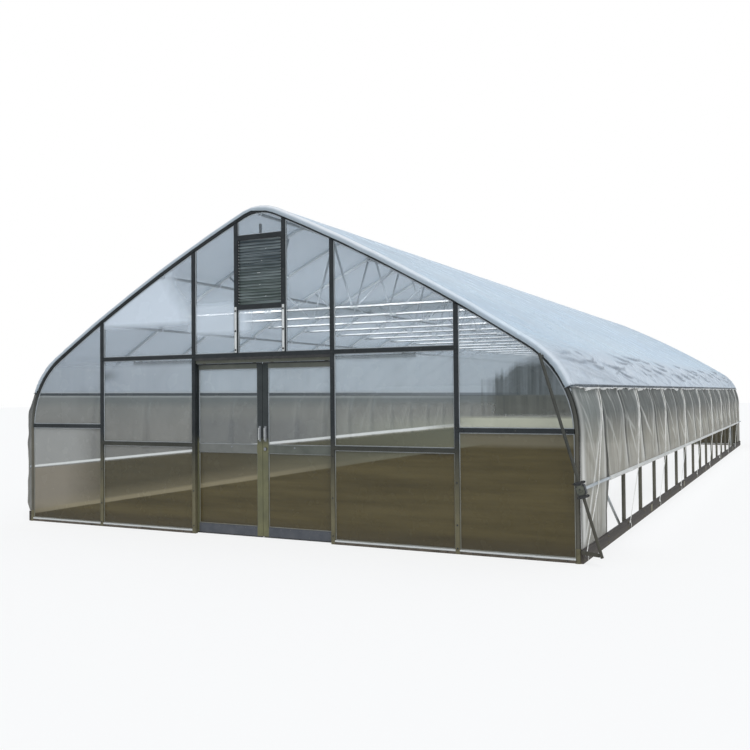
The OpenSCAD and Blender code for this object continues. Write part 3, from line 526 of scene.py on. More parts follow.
# ------------------------------------------------------------ mesh helpers
def make(name, verts, faces, finish, body=HOUSE, sharp=0, attrs=None):
    """A smooth-shaded mesh object that rides on its body, with edges over sharp degrees kept sharp."""
    me = bpy.data.meshes.new(name)
    me.from_pydata(np.asarray(verts, np.float32).reshape(-1, 3).tolist(), [], faces)
    me.validate()
    me.polygons.foreach_set("use_smooth", [True] * len(me.polygons))
    for k, v in (attrs or {}).items():
        me.attributes.new(k, "FLOAT", "POINT").data.foreach_set("value", np.asarray(v, np.float32).ravel())
    if sharp:
        bm = bmesh.new()
        bm.from_mesh(me)
        bmesh.ops.recalc_face_normals(bm, faces=bm.faces)
        bm.to_mesh(me)
        bm.free()
        me.set_sharp_from_angle(angle=radians(sharp))
    me.materials.append(M[finish])
    o = bpy.data.objects.new(name, me)
    scene.collection.objects.link(o)
    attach(o, body)
    return o


def sheet_object(name, x, y, z, finish, slot, flip=False, **attrs):
    """A sheet over a grid of points, with a number a point for each of attrs."""
    p = np.stack(np.broadcast_arrays(x, y, z), -1)
    rows, n = p.shape[:2]
    i = np.arange(rows - 1)[:, None] * n + np.arange(n - 1)[None, :]
    q = np.stack([i, i + 1, i + n + 1, i + n], -1).reshape(-1, 4)
    return make(name, p, (q[:, ::-1] if flip else q).tolist(), finish, attrs=attrs)


class Creases:
    """Folds pressed into a sheet laid out on s (across) and y (along): d is the height,
    f the painted shading along the folds: painted shade on the roof, painted highlights on
    the side films."""

    def __init__(self, s, y):
        self.s, self.y = s, y
        self.d = np.zeros((len(s), len(y)))
        self.f = np.zeros_like(self.d)

    def line(self, a, b, width, height, bend=0.0, skew=0.0, fold=0.0, taper=0.6):
        """A crease from a to b, each (y, s), bowed sideways by bend, steeper on one side by skew, with painted
        shading of the given strength beside its crest.
        """
        (ya, sa), (yb, sb) = a, b
        pad = 3 * width + abs(bend)
        i = slice(*np.searchsorted(self.s, (min(sa, sb) - pad, max(sa, sb) + pad)))
        j = slice(*np.searchsorted(self.y, (min(ya, yb) - pad, max(ya, yb) + pad)))
        S, Y = np.meshgrid(self.s[i], self.y[j], indexing="ij")
        run = hypot(yb - ya, sb - sa)
        ty, ts = (yb - ya) / run, (sb - sa) / run
        t = ((Y - ya) * ty + (S - sa) * ts) / run
        tc = np.clip(t, 0, 1)
        q = (-(Y - ya) * ts + (S - sa) * ty - bend * 4 * tc * (1 - tc)) / width
        ends = np.sin(np.pi * np.clip(tc, 0.02, 0.98)) ** taper * np.exp(-((np.abs(t - tc) * run / width) ** 2))
        self.d[i, j] += height * np.exp(-q * q) * (1 + skew * q) * ends
        # painted shading beside the crest
        self.f[i, j] = np.maximum(self.f[i, j], fold * np.exp(-((q + 0.5 * skew) ** 2) * 1.6) * ends)


def smooth_noise(rng, n, step):
    """n values that wander smoothly between -1 and 1, changing every step values."""
    knots = rng.uniform(-1, 1, int(n / step) + 4)
    t = np.arange(n) / step
    i = t.astype(int)
    u = t - i
    u = u * u * (3 - 2 * u)
    return knots[i] * (1 - u) + knots[i + 1] * u


def bell(v, width, power=2):
    return np.exp(-((v / width) ** power))


# -------------------------------------------------------------- roof film
LAP = 0.05
right_s = np.concatenate([[0.004, 0.008, 0.014, 0.022], np.arange(0.032, 0.9, 0.0145), np.linspace(0.92, SLOPE, 34)])
end_rows = np.array([0.0, 0.009, 0.02, 0.034, 0.05, 0.075, 0.105])
roof_y = np.concatenate([-WALL - LAP + end_rows, np.linspace(-WALL + 0.13, WALL - 0.13, 478),
                         (WALL + LAP - end_rows)[::-1]])
end_gap = WALL + LAP - np.abs(roof_y)[None, :]


def roof_creases(seed):
    rng = np.random.default_rng(seed)
    u = rng.uniform
    c = Creases(right_s, roof_y)
    for k, y0 in enumerate(BOWS[:-1]):
        near = 1.0 if k < 11 else 0.8
        for _ in range(2):  # long crescents
            w = u(0.8, 1.7)
            yc = y0 + BAY * u(0.2, 0.8)
            s, lean = u(0.22, 0.62), u(0.0, 0.09)
            c.line((yc - w / 2, s + lean), (yc + w / 2, s - lean), u(0.014, 0.022), near * u(0.018, 0.028),
                   bend=-u(0.04, 0.11), skew=1.0, fold=u(0.85, 1.0))
        for _ in range(4):  # long diagonals
            yc = y0 + BAY * u(0, 1)
            s = u(0.14, 0.44)
            c.line((yc, s), (yc + u(0.5, 1.3), max(0.03, s - u(0.12, 0.28))), u(0.01, 0.016), u(0.005, 0.01),
                   bend=u(-0.03, 0.01), skew=0.6, fold=u(0.2, 0.6))
        for _ in range(3):  # short folds
            w = u(0.14, 0.36)
            yc = y0 + BAY * u(0, 1)
            s, lean = u(0.1, 0.46), u(-0.08, 0.08)
            c.line((yc - w / 2, s - lean), (yc + w / 2, s + lean), u(0.014, 0.022), near * u(0.01, 0.018),
                   bend=rng.choice([-1, -1, 1]) * u(0.02, 0.06), skew=0.8, fold=u(0.45, 1.0))
        for _ in range(5):  # uprights at the lock
            yc = y0 + BAY * u(0, 1)
            top = u(0.09, 0.3)
            c.line((yc, 0.03), (yc + u(-0.12, 0.12), top), u(0.012, 0.02), u(0.004, 0.009),
                   bend=u(-0.03, 0.03), fold=u(0.0, 0.35))
    for end in (-1, 1):
        for _ in range(22):
            s0, run = u(0.15, 1.4), u(0.8, 3.4)
            a, b = sorted(((end * (WALL - 0.02), s0), (end * (WALL - run), max(0.05, s0 - run * u(0.1, 0.3)))))
            c.line(a, b, u(0.018, 0.036), u(0.006, 0.012), bend=u(-0.08, 0.08),
                   fold=u(0.1, 0.5) if s0 < 0.9 else u(0.0, 0.2))
        for _ in range(11):
            s0 = u(2.3, SLOPE - 0.1)
            ya, yb = sorted((end * (WALL - 0.03), end * (WALL - u(1.5, 6.5))))
            c.line((ya, s0), (yb, s0 + u(-0.12, 0.12)), u(0.03, 0.06), u(0.003, 0.008),
                   bend=u(-0.05, 0.05), fold=u(0.0, 0.12))
    return c


def roof_offset(c, seed, wrap):
    """Height of the outer film over the bows' centre line, on one slope."""
    rng = np.random.default_rng(seed)
    s = right_s[:, None]
    rise = np.interp(s, [0.004, 0.008, 0.014, 0.022, 0.05, 0.25, 0.8],
                     [0.0545, 0.0565, 0.06, 0.0625, 0.0605, 0.068, 0.06])
    billow = 0.0025 * np.sin(np.pi * (roof_y[None, :] + WALL) / BAY) ** 2 * np.clip((s - 0.03) / 0.4, 0, 1)
    fade = np.clip((end_gap - 0.02) / 0.12, 0, 1) * np.clip((s - 0.012) / 0.05, 0, 1)
    # the edge rounds over the end bow like the side of a pillow, a little gathered
    lip = np.interp(end_gap, [*end_rows, 0.2], [-0.064, -0.03, -0.008, 0.001, 0.007, 0.01, 0.008, 0.0])
    gather = 0.004 * smooth_noise(rng, len(right_s), 2.3)[:, None] * bell(end_gap - 0.03, 0.035)
    return rise + (billow + c.d) * fade + np.where(lip < 0, lip * wrap, lip) + gather


def roof_rows(seed, wrap):
    """x, y, z, the painted shade along creases, edge and tuck at each point of one slope."""
    c = roof_creases(seed)
    x, z = arch(HIP_S + right_s[:, None], roof_offset(c, seed + 1, wrap))
    wave = 0.004 * smooth_noise(np.random.default_rng(seed + 2), len(right_s), 5)[:, None] * bell(end_gap, 0.05)
    tuck = np.interp(end_gap, [0.0, 0.009, 0.02], [0.016, 0.006, 0.0])
    y = roof_y[None, :] - np.sign(roof_y)[None, :] * (tuck + wave)
    edge = np.interp(end_gap, [0.0, 0.06, 0.11], [1.0, 1.0, 0.0]) + 0 * x
    tucked = np.interp(end_gap, [0.0, 0.009, 0.017], [1.0, 0.9, 0.0]) + 0 * x
    return x, y, z, c.f * np.clip(end_gap / 1.3, 0, 1), edge, tucked


def both_slopes(right, left):
    """The rows of the right slope, then those of the left one with its x turned over."""
    return [np.concatenate([r, l[-2::-1] * (1 if i else -1)]) for i, (r, l) in enumerate(zip(right, left))]


x, y, z, fold, edge, tuck = both_slopes(roof_rows(11, 1.0), roof_rows(37, 0.72))
roof = sheet_object("roof_film_outer", x, y, z, "roof_film", "roof_film", flip=True, fold=fold, edge=edge, tuck=tuck)
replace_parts(roof, "roof_film_left", "roof_film_right")
roof_width = 2 * SLOPE * 1.02

s = np.linspace(0.0195, SLOPE, 44)[:, None]
y = np.linspace(-WALL - 0.02, WALL + 0.02, BAYS * 8 + 1)[None, :]
x, z = arch(HIP_S + s, 0.0275 - 0.01 * np.sin(np.pi * (y + WALL) / BAY) ** 2 * np.clip(s / 0.5, 0, 1))
slope = (x, y + 0 * x, z)
inner = sheet_object("roof_film_inner", *both_slopes(slope, slope), "inner_film", "roof_film", flip=True)

# ---------------------------------------------------------- side curtains
ROPE_LEAN = tan(radians(34))
ROPE_FOOT_Z = 0.06
ROPES = [y + 0.05 for y in BOWS[:-1:2]]
ROLL_X, ROLL_R, CORE_R = 4.0275, 0.03, 0.0175
TOP_S = HIP_S - 0.0205
FILM_X = SPAN / 2 + 0.031
CURTAIN_END = WALL - BAY - 0.0258


def rope_y(foot, z):
    return foot + (z - ROPE_FOOT_Z) * ROPE_LEAN


def drop(q, foot_x, foot_z):
    """x, z and outward normal down a side film, q metres from its upper edge: round the
    eave, then straight to its foot."""
    s = TOP_S - q
    ax, az = arch(np.maximum(s, 0), np.interp(q, [0, 0.06, 0.2], [0.046, 0.034, 0.031]))
    a = np.maximum(s, 0) / EAVE_R
    t = np.clip(-s / (LEG_H - foot_z), 0, 1)
    x = np.where(s < 0, FILM_X + (foot_x - FILM_X) * t, ax)
    z = np.where(s < 0, LEG_H - (LEG_H - foot_z) * t, az)
    return x, z, np.where(s < 0, 1.0, np.cos(a)), np.where(s < 0, 0.0, np.sin(a))


def down(z):
    """q at a height."""
    return TOP_S - s_at_z(z) if z > LEG_H else TOP_S + LEG_H - z


def crease_side(c, rng, foot_z, ya, yb):
    """Folds of a side film: a V that hangs between each pair of bows, upright pulls and the ropes' dents."""
    u = rng.uniform
    height = TOP_S + LEG_H - foot_z
    for y0, y1 in zip(BOWS[:-1], BOWS[1:]):
        if y1 < ya or y0 > yb:
            continue
        mid = (y0 + y1) / 2 + u(-0.12, 0.12)
        for yc, width in ((y0 + 0.095, 0.02), (y1 - 0.095, 0.016)):
            c.line((yc, 0.04), (yc + u(-0.015, 0.015), height - 0.03), width, u(0.002, 0.005),
                   bend=u(-0.02, 0.02), fold=u(0.1, 0.4), taper=0.15)
        for deep in range(3):
            zt = u(1.5, 1.72) - 0.2 * deep
            zb = max(u(1.06, 1.2) - 0.14 * deep, foot_z + 0.12)
            inset_y = 0.05 + 0.14 * deep
            strong = u(0.45, 1.0)
            for y_top in (y0 + inset_y, y1 - inset_y):
                if u() < 0.3:
                    continue
                y_top += u(-0.06, 0.06)
                a, b = sorted(((y_top, down(zt + u(-0.12, 0.06))), (mid + u(-0.06, 0.06), down(zb + u(-0.05, 0.08)))))
                c.line(a, b, u(0.022, 0.042), strong * u(0.008, 0.014), bend=u(-0.04, 0.04), fold=0.62 * strong,
                       taper=0.5)
            c.line((mid, down(zb)), (mid + u(-0.03, 0.03), height - 0.02), u(0.016, 0.028), 0.007 * strong,
                   bend=u(-0.02, 0.02), fold=0.4 * strong)
        for _ in range(9):
            yc, qa = u(y0, y1), u(0.0, height * 0.75)
            qb = min(qa + u(0.12, 0.5), height - 0.01)
            c.line((yc, qa), (yc + u(-0.08, 0.08), qb), u(0.01, 0.02), u(0.002, 0.007),
                   bend=u(-0.03, 0.03), fold=u(0.0, 0.45))
        for _ in range(6):
            yc = u(y0, y1)
            c.line((yc, 0.0), (yc + u(-0.06, 0.06), u(0.07, 0.2)), 0.014, u(0.003, 0.008), fold=u(0.1, 0.5))
    zs = np.linspace(1.8, max(foot_z + 0.02, 0.2), 9)
    for foot in ROPES:
        for za, zb in zip(zs[1:], zs[:-1]):
            c.line((rope_y(foot, za), down(za)), (rope_y(foot, zb), down(zb)), 0.03, -0.006, taper=0.0)


def side_film(name, side, ya, yb, foot_x, foot_z, seed, replaced=None, bulge_y=None, ends_in=False):
    """A curtain or corner film. bulge_y is a free edge that bellies out; ends_in draws both ends to the frame."""
    rng = np.random.default_rng(seed)
    height = TOP_S + LEG_H - foot_z
    q = np.append(np.arange(0, height, 0.0235), height)
    y = np.linspace(ya, yb, int((yb - ya) / 0.0225))
    c = Creases(q, y)
    crease_side(c, rng, foot_z, ya, yb)
    x, z, nx, nz = (v[:, None] for v in drop(q, foot_x, foot_z))
    q, y = q[:, None], y[None, :]
    bay = np.abs(np.sin(np.pi * (y + WALL) / BAY))
    hold = np.interp(q, [0, 0.05, 0.25, height - 0.1, height], [0, 0.15, 1, 1, 0.1])
    limp = np.interp(q, [0, 0.12, 0.3, height - 0.05, height], [0.1, 0.4, 1, 1, 0.15])
    d = 0.016 * bay ** 0.8 * hold + np.maximum(c.d, -0.004) * limp
    if bulge_y:
        ripple = 0.5 + 0.5 * smooth_noise(rng, len(q), 6)[:, None]
        d = d + np.clip(1 - np.abs(y - bulge_y) / 0.35, 0, 1) ** 2 * hold * (0.022 + 0.03 * ripple)
    if ends_in:
        near = np.clip(1 - (y - ya) / 0.3, 0, 1) + np.clip(1 - (yb - y) / 0.3, 0, 1)
        inwards = near * near * (3 - 2 * near) * np.interp(q, [0, height - 0.22, height], [1, 1, 0])
        d = d * (1 - 0.85 * inwards)
        x = x - np.maximum(x - (FILM_X + 0.008), 0) * (q > 0.5) * inwards
    # a painted highlight in front of each bow, the bow's dark line painted on the film, and painted shade beyond it
    k = (y[0] + WALL) / BAY
    near_bow = np.rint(k).astype(int)
    past = ((k - near_bow) * BAY)[None, :] + 0.016 * smooth_noise(rng, len(q), 14)[:, None]
    power = rng.uniform(0.55, 1.0, BAYS + 3)[near_bow]
    wide = rng.uniform(0.4, 1.0, BAYS + 3)[near_bow]
    low = np.interp(z, [0.8, 1.2, 1.6, 1.85], [1, 0.8, 0.25, 0.1])
    far = 1 + 0.9 * (y + WALL) / (2 * WALL)
    shine = 0.85 * power * bell(past + 0.085, 0.028 * far) + 0.6 * wide * low * bell(past + 0.19, 0.09)
    # painted highlights along each rope
    for foot in ROPES:
        shine = np.maximum(shine, 0.85 * bell(np.abs(y - rope_y(foot, z)), 0.032 * far, 3))
    if not ends_in:
        # a painted highlight along the film near the end wall
        rim = WALL - np.abs(y)
        shine = np.maximum(shine, np.interp(z, [0.2, 0.9, 1.5], [0.85, 0.8, 0.3]) * bell(rim - 0.1, 0.07))
        flare = np.clip(1 - (rim.max() - rim) / 0.25, 0, 1)
        d = d + 0.03 * flare ** 2 * np.interp(z, [0.4, 0.75, 1.0, 1.3], [0, 1, 1, 0])
    fade = np.interp(q, [0, 0.03, height - 0.08, height], [0.3, 1, 0.9, 0.3])
    touch = bell(past, 0.042 * far) + (0.5 - 0.35 * low) * bell(past - 0.14, 0.1)
    o = sheet_object(name, side * (x + nx * d), y, z + nz * d, "curtain_film", "curtain_film", flip=side < 0,
                     fold=np.clip(np.maximum(c.f, shine * fade), 0, 1), touch=np.clip(touch, 0, 1) * fade)
    if replaced:
        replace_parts(o, replaced)


for side, word in SIDES:
    side_film(f"side_curtain_{word}", side, -CURTAIN_END - 0.05, CURTAIN_END + 0.05, ROLL_X + 0.012, ROLL_H + 0.027,
              51 + side, "side_curtains" if side > 0 else None, ends_in=True)
    for end, wall in ENDS:
        ya, yb = sorted((end * (WALL + 0.028), end * (WALL - BAY - 0.026)))
        side_film(f"corner_film_{wall}_{word}", side, ya, yb, FILM_X + 0.003, 0.146, 71 + side + 5 * end,
                  "corner_films" if (side, end) == (1, -1) else None, end * (WALL + 0.028) if side < 0 else None)


# ------------------------------------------------- small hardware helpers
def basis(axis):
    """Three directions, the last along axis."""
    w = np.asarray(axis, float)
    w = w / np.linalg.norm(w)
    u = np.cross(w, (0, 0, 1) if abs(w[2]) < 0.9 else (1, 0, 0))
    u = u / np.linalg.norm(u)
    return np.array([u, np.cross(w, u), w])


def circle(sides):
    return np.arange(sides) * 2 * pi / sides


def ring_faces(rings, n, caps=True):
    """Faces between rings of n points each, and the two ends."""
    f = [[i * n + j, i * n + (j + 1) % n, (i + 1) * n + (j + 1) % n, (i + 1) * n + j]
         for i in range(rings - 1) for j in range(n)]
    return f + [list(range(n))[::-1], [(rings - 1) * n + j for j in range(n)]] if caps else f


class Kit:
    """Collects many small solids, then turns them into one mesh."""

    def __init__(self):
        self.v, self.f, self.n = [], [], 0

    def add(self, v, f):
        v = np.asarray(v, float).reshape(-1, 3)
        self.v.append(v)
        self.f += [[i + self.n for i in q] for q in f]
        self.n += len(v)

    def block(self, low, high, cut=0.001):
        """A box with chamfered edges between two corners, in any order."""
        low, high = np.minimum(low, high), np.maximum(low, high)
        c, h = (low + high) / 2, (high - low) / 2
        cut = min(cut, 0.45 * float(h.min()))
        v, f = [], []
        for k in range(8):
            s = np.array([(k & 1) * 2 - 1, (k >> 1 & 1) * 2 - 1, (k >> 2 & 1) * 2 - 1])
            for a in range(3):
                e = h - cut
                e[a] = h[a]
                v.append(c + s * e)
        for a in range(3):
            b, d = (a + 1) % 3, (a + 2) % 3
            for s in (0, 1):
                f.append([((s << a) | (p << b) | (q << d)) * 3 + a for p, q in ((0, 0), (1, 0), (1, 1), (0, 1))])
                for t in (0, 1):
                    k = (s << a) | (t << b)
                    f.append([k * 3 + a, (k | (1 << d)) * 3 + a, (k | (1 << d)) * 3 + b, k * 3 + b])
        self.add(v, f + [[k * 3, k * 3 + 1, k * 3 + 2] for k in range(8)])

    def turned(self, at, axis, profile, sides=12):
        """A solid of revolution: profile is (distance along axis, radius) pairs."""
        u, v, w = basis(axis)
        a = circle(sides)[:, None]
        ring = np.cos(a) * u + np.sin(a) * v
        self.add([np.asarray(at) + w * d + ring * r for d, r in profile], ring_faces(len(profile), sides))

    def bolt(self, at, axis, d=0.012):
        """A washer and a hexagon head standing on a surface."""
        self.turned(at, axis, [(-0.001, d * 1.05), (d * 0.16, d * 1.05), (d * 0.2, d * 0.98)], 12)
        self.turned(at, axis, [(d * 0.18, d * 0.72), (d * 0.62, d * 0.72), (d * 0.78, d * 0.58)], 6)

    def tube(self, pts, r, sides=6, profile=None, twist=0.0):
        """Sweeps a circle, or a profile (angle -> radius factor), along pts."""
        p = np.asarray(pts, float)
        t = np.gradient(p, axis=0)
        t /= np.linalg.norm(t, axis=1)[:, None]
        u = basis(t[0])[0]
        a = circle(sides)
        shape = np.ones(sides) if profile is None else np.array([profile(x) for x in a])
        out, run = [], 0.0
        for i in range(len(p)):
            if i:
                run += float(np.linalg.norm(p[i] - p[i - 1]))
            u = u - t[i] * (u @ t[i])
            u /= np.linalg.norm(u)
            b = (a + run * twist)[:, None]
            out.append(p[i] + (np.cos(b) * u + np.sin(b) * np.cross(t[i], u)) * (shape * r)[:, None])
        self.add(out, ring_faces(len(p), sides))

    def extrude(self, outline, a, b, place):
        """Extrudes a closed outline of (p, q) from a to b; place turns (p, q, r) into a point."""
        self.add([place(p, q, r) for r in (a, b) for p, q in outline], ring_faces(2, len(outline)))

    def done(self, name, finish, slot=None, body=HOUSE, sharp=35):
        return make(name, np.concatenate(self.v), self.f, finish, body, sharp)


def at_arch(s, side, y=0.0):
    """The bow's centre line at s on one side, and its outward and upward directions there."""
    x, z = arch(s, 0.0)
    x2, z2 = arch(s, 1.0)
    n = np.array([side * (x2 - x), 0, z2 - z])
    return np.array([side * float(x), y, float(z)]), n, np.array([-n[2] * side, 0, n[0] * side])


# ----------------------------------------------- film channels on the hip
LOCK_IN = 0.0511  # from the bow's centre line to the channel's floor
channel = [(-20, 0), (20, 0), (20, 10), (13.5, 10.4), (12.6, 8.4), (18.2, 8.0), (18.2, 1.6), (1.2, 1.6),
           (1.2, 10.2)]  # half its section, in millimetres
channel += [(-p, q) for p, q in reversed(channel[2:])]
kit, wires = Kit(), Kit()
joints = np.linspace(-WALL - BOW_R, WALL + BOW_R, 7)
w = np.arange(-WALL + 0.01, WALL - 0.01, 0.011)
for side, _ in SIDES:
    c, n, up = at_arch(HIP_S, side)

    def on_channel(p, q, r):
        return c + up * p * 0.001 + n * (LOCK_IN + q * 0.001) + np.array([0, r, 0])

    for a, b in zip(joints[:-1], joints[1:]):
        kit.extrude(channel, a + 0.001, b - 0.001, on_channel)
    for mid in (9.8, -9.8):
        zig = np.arcsin(np.sin(2 * pi * w / 0.066 + mid)) * 2 / pi
        wires.tube([on_channel(mid + 6.6 * z, 6.5 + 1.5 * z * z, y) for y, z in zip(w, zig)], 0.0021, 4)
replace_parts(kit.done("film_channels", "channel", "aluminium", sharp=30), "film_locks")
wires.done("wiggle_wires", "dark_fitting")

# film that sticks out under the channels, crumpled
n = int(2 * (WALL + 0.02) / 0.0165)
for side, word in SIDES:
    rng = np.random.default_rng(90 + side)

    def wander(step):
        return smooth_noise(rng, n, step)

    length = 0.026 + 0.014 * wander(21) + 0.014 * wander(6) + 0.006 * wander(2)
    rows = np.linspace(0, 1, 6)[:, None]
    curl = 0.02 * wander(9) + 0.012 * wander(3)
    lift = np.maximum(0.058 + rows * (0.012 + curl) + 0.006 * rows * wander(1.6), 0.052 - 0.004 * rows)
    x, z = arch(HIP_S - 0.0125 - rows * np.clip(length, 0.006, 0.1), lift)
    y = np.linspace(-WALL - 0.02, WALL + 0.02, n)[None, :] + 0.004 * rows * wander(4)
    tail = sheet_object(f"film_tail_{word}", side * x, y, z, "wound_film", "roof_film", flip=side > 0)

# ------------------------------------------------------------ rolled film
kit = Kit()
n, sides = int(2 * CURTAIN_END / 0.042), 16
a = circle(sides)
for side, _ in SIDES:
    rng = np.random.default_rng(31 + side)
    y = np.linspace(-CURTAIN_END, CURTAIN_END, n)
    lump = np.stack([smooth_noise(rng, n, 5) for _ in range(sides)], 1)
    # the radius grows round each turn by the thickness of the film
    r = 0.0275 + 0.0022 * a / (2 * pi) + 0.0014 * lump + 0.0012 * smooth_noise(rng, n, 11)[:, None]
    z = ROLL_H + 0.003 * smooth_noise(rng, n, 30)[:, None]
    ring = np.stack([side * (ROLL_X + r * np.cos(a)), y[:, None] + 0 * r, z + r * np.sin(a)], -1)
    kit.add(ring, ring_faces(n, sides, caps=False))
    for i in (0, -1):
        core = np.stack([side * (ROLL_X + CORE_R * np.cos(a)), y[i] + 0 * a, ROLL_H + CORE_R * np.sin(a)], -1)
        kit.add([ring[i], core], ring_faces(2, sides, caps=False))
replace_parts(kit.done("wound_curtains", "wound_film", "roof_film"), "curtain_rolls")

# ------------------------------------------------------------------ ropes
ROPE_R = 0.0048
EYE_X = 4.03
kit, eyes = Kit(), Kit()
for side, _ in SIDES:
    c, out, up = at_arch(HIP_S, side)
    for foot in ROPES:
        # over the eave, round the roll and down to the board
        ax, az = arch(np.linspace(TOP_S - 0.015, 0, 9), 0.053)
        a = np.linspace(0.35, -0.25, 5)
        r = ROLL_R + ROPE_R + 0.001
        px = np.concatenate([ax, ROLL_X + r * np.cos(a), [4.026]])
        pz = np.concatenate([az, ROLL_H + r * np.sin(a), [0.085]])
        run = np.concatenate([[0], np.cumsum(np.hypot(np.diff(px), np.diff(pz)))])
        t = np.arange(0, run[-1], 0.01)
        x, z = np.interp(t, run, px), np.interp(t, run, pz)
        y = rope_y(foot, z) + 0.004 * np.sin(t * 3 + foot)
        kit.tube(np.stack([side * x, y, z], 1), ROPE_R, 9, lambda v: 1.0 + 0.2 * cos(3 * v), 2 * pi / 0.05)
        for xx, zz in ((x[0], z[0]), (4.0265, 0.1)):
            a = np.linspace(0, 6 * pi, 40)
            kit.tube(np.stack([side * (xx + 0.008 * np.cos(a)), rope_y(foot, zz) + 0.008 * np.sin(a),
                               zz + np.linspace(-0.014, 0.014, 40)], 1), 0.0042)
        t = np.linspace(0, 1, 10)
        kit.tube(np.stack([side * (EYE_X + 0.01 * np.sin(3 * t)), foot + 0.02 + 0.05 * t,
                           0.095 - 0.075 * t ** 1.3], 1), 0.0038)
        # an eye screw in the board, and a hook over the hip rail
        a = np.linspace(-0.4 * pi, 1.6 * pi, 16)
        eyes.tube(np.stack([side * (EYE_X + 0.013 * np.sin(a)), foot + 0.008 + 0 * a, 0.072 + 0.013 * np.cos(a)], 1),
                  0.0028)
        eyes.turned((side * 4.015, foot + 0.008, 0.072), (side, 0, 0),
                    [(0, 0.01), (0.002, 0.01), (0.003, 0.004), (0.006, 0.003)], 10)
        at = c + np.array([0, rope_y(foot, z[0]), 0])
        eyes.tube([at + out * p + up * q for p, q in ((0.064, -0.034), (0.068, -0.02), (0.066, 0.0), (0.064, 0.012))],
                  0.003)
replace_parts(kit.done("hold_down_ropes", "rope"), "curtain_ropes")
eyes.done("rope_eyes", "bright_bolt", "galvanized")

# --------------------------------------------- purlin, tie and foot clamps
TUBE_R = 0.019  # of purlins and ties
kit = Kit()
purlins_at = [(S3, 1)] + [(s_at_x(x), side) for x in (1.56, 2.63) for side in (1, -1)]
a = np.linspace(pi, 2 * pi, 9)
saddle = [(0.021 * cos(k), 0.021 * sin(k) - BOW_R - 0.0003 - TUBE_R) for k in a]
strap = [(p, -BOW_R - 0.001) for p in (-0.052, -0.026)] + saddle + [(p, -BOW_R - 0.001) for p in (0.026, 0.052)]
for y in BOWS:
    for s, side in purlins_at:
        c, n, up = at_arch(s, side, y)
        v = [c + up * p + n * (q + lift) + np.array([0, dy, 0]) for p, q in strap
             for dy, lift in ((-0.014, 0.0), (-0.014, -0.0025), (0.014, -0.0025), (0.014, 0.0))]
        kit.add(v, ring_faces(len(strap), 4))
        for p in (-0.04, 0.04):
            kit.bolt(c + up * p - n * (BOW_R + 0.0035), -n, 0.008)
TIE_Z = 2.96
ax, az = arch(np.linspace(0, S3, 2000), -BOW_R)
tie_end = float(np.interp(TIE_Z + TUBE_R, az, ax))
for y in BOWS[1:-1]:
    for side, _ in SIDES:
        for x, l in ((tie_end - 0.075, 0.07), (0.72, 0.05), (0.66, 0.05)):
            kit.turned((side * x - l / 2, y, TIE_Z), (1, 0, 0),
                       [(0, 0.0205), (0.002, 0.0222), (l - 0.002, 0.0222), (l, 0.0205)], 14)
            kit.bolt((side * x, y - 0.0215, TIE_Z), (0, -1, 0), 0.009)
kit.done("frame_clamps", "galvanized")

BOARD_X = 4.016  # outer face of the base board
kit = Kit()
for side, _ in SIDES:
    for end, _ in ENDS:
        x, y = side * SPAN / 2, end * WALL
        kit.turned((x, y, 0.0), (0, 0, 1), [(0, 0.044), (0.008, 0.044), (0.01, 0.034), (0.018, 0.0305),
                                            (0.15, 0.0305), (0.153, 0.0275)], 20)
        for a in (45, 135, 225, 315):
            a = radians(a)
            kit.bolt((x + 0.038 * cos(a), y + 0.038 * sin(a), 0.008), (0, 0, 1), 0.006)
        kit.bolt((x, y + 0.03 * end, 0.11), (0, end, 0), 0.01)
    for y in BOWS:
        for z in (0.105, 0.035):
            kit.bolt((side * BOARD_X, y, z), (side, 0, 0), 0.011)
    for y in BOWS[1:-1]:
        c, n, up = at_arch(HIP_S, side, y)
        kit.bolt(c - n * 0.027, -n, 0.01)
    for y in BOWS[3:-1:3]:
        y += BAY / 2
        kit.block((side * (BOARD_X - 0.0001), y - 0.07, 0.02), (side * (BOARD_X + 0.0024), y + 0.07, 0.12))
kit.done("foot_sockets", "tube_steel")


# -------------------------------------------------------- end wall details
def outlines(obj, side):
    """The outlines of the flat faces of a sheet that look along side * Y, as lists of (x, z), and their y."""
    me = obj.data
    edges, y = {}, 0.0
    for p in me.polygons:
        if p.normal.y * side < 0.99:
            continue
        vs = [me.vertices[v].co for v in p.vertices]
        y = vs[0].y
        spots = [(round(v.x, 4), round(v.z, 4)) for v in vs]
        for a, b in zip(spots, spots[1:] + spots[:1]):
            if (b, a) in edges:
                del edges[(b, a)]
            elif a != b:
                edges[(a, b)] = True
    follow = {a: b for a, b in edges}
    loops = []
    while follow:
        start, nxt = follow.popitem()
        loop = [start]
        while nxt != start and nxt in follow:
            loop.append(nxt)
            nxt = follow.pop(nxt)
        if len(loop) > 2:
            loops.append(loop)
    return loops, y


def inset(loop, d):
    """The outline moved inwards by d."""
    p = np.array(loop)
    e = np.roll(p, -1, 0) - p
    area = float(np.sum(p[:, 0] * e[:, 1] - e[:, 0] * p[:, 1]))
    e /= np.linalg.norm(e, axis=1)[:, None]
    n = np.stack([-e[:, 1], e[:, 0]], 1) * (1 if area > 0 else -1)
    n = n + np.roll(n, 1, 0)
    return p + n * 2.0 / np.maximum((n ** 2).sum(1), 0.6)[:, None] * d


def thin(loop, step=0.09):
    """Drops points of a finely faceted arc."""
    p = [np.array(q) for q in loop]
    keep = []
    for i, q in enumerate(p):
        u, v = q - p[i - 1], p[(i + 1) % len(p)] - q
        turn = abs(atan2(u[0] * v[1] - u[1] * v[0], float(u @ v)))
        if turn > 0.15 or not keep or np.linalg.norm(q - keep[-1]) > step and turn > 0.0005:
            keep.append(q)
    return keep


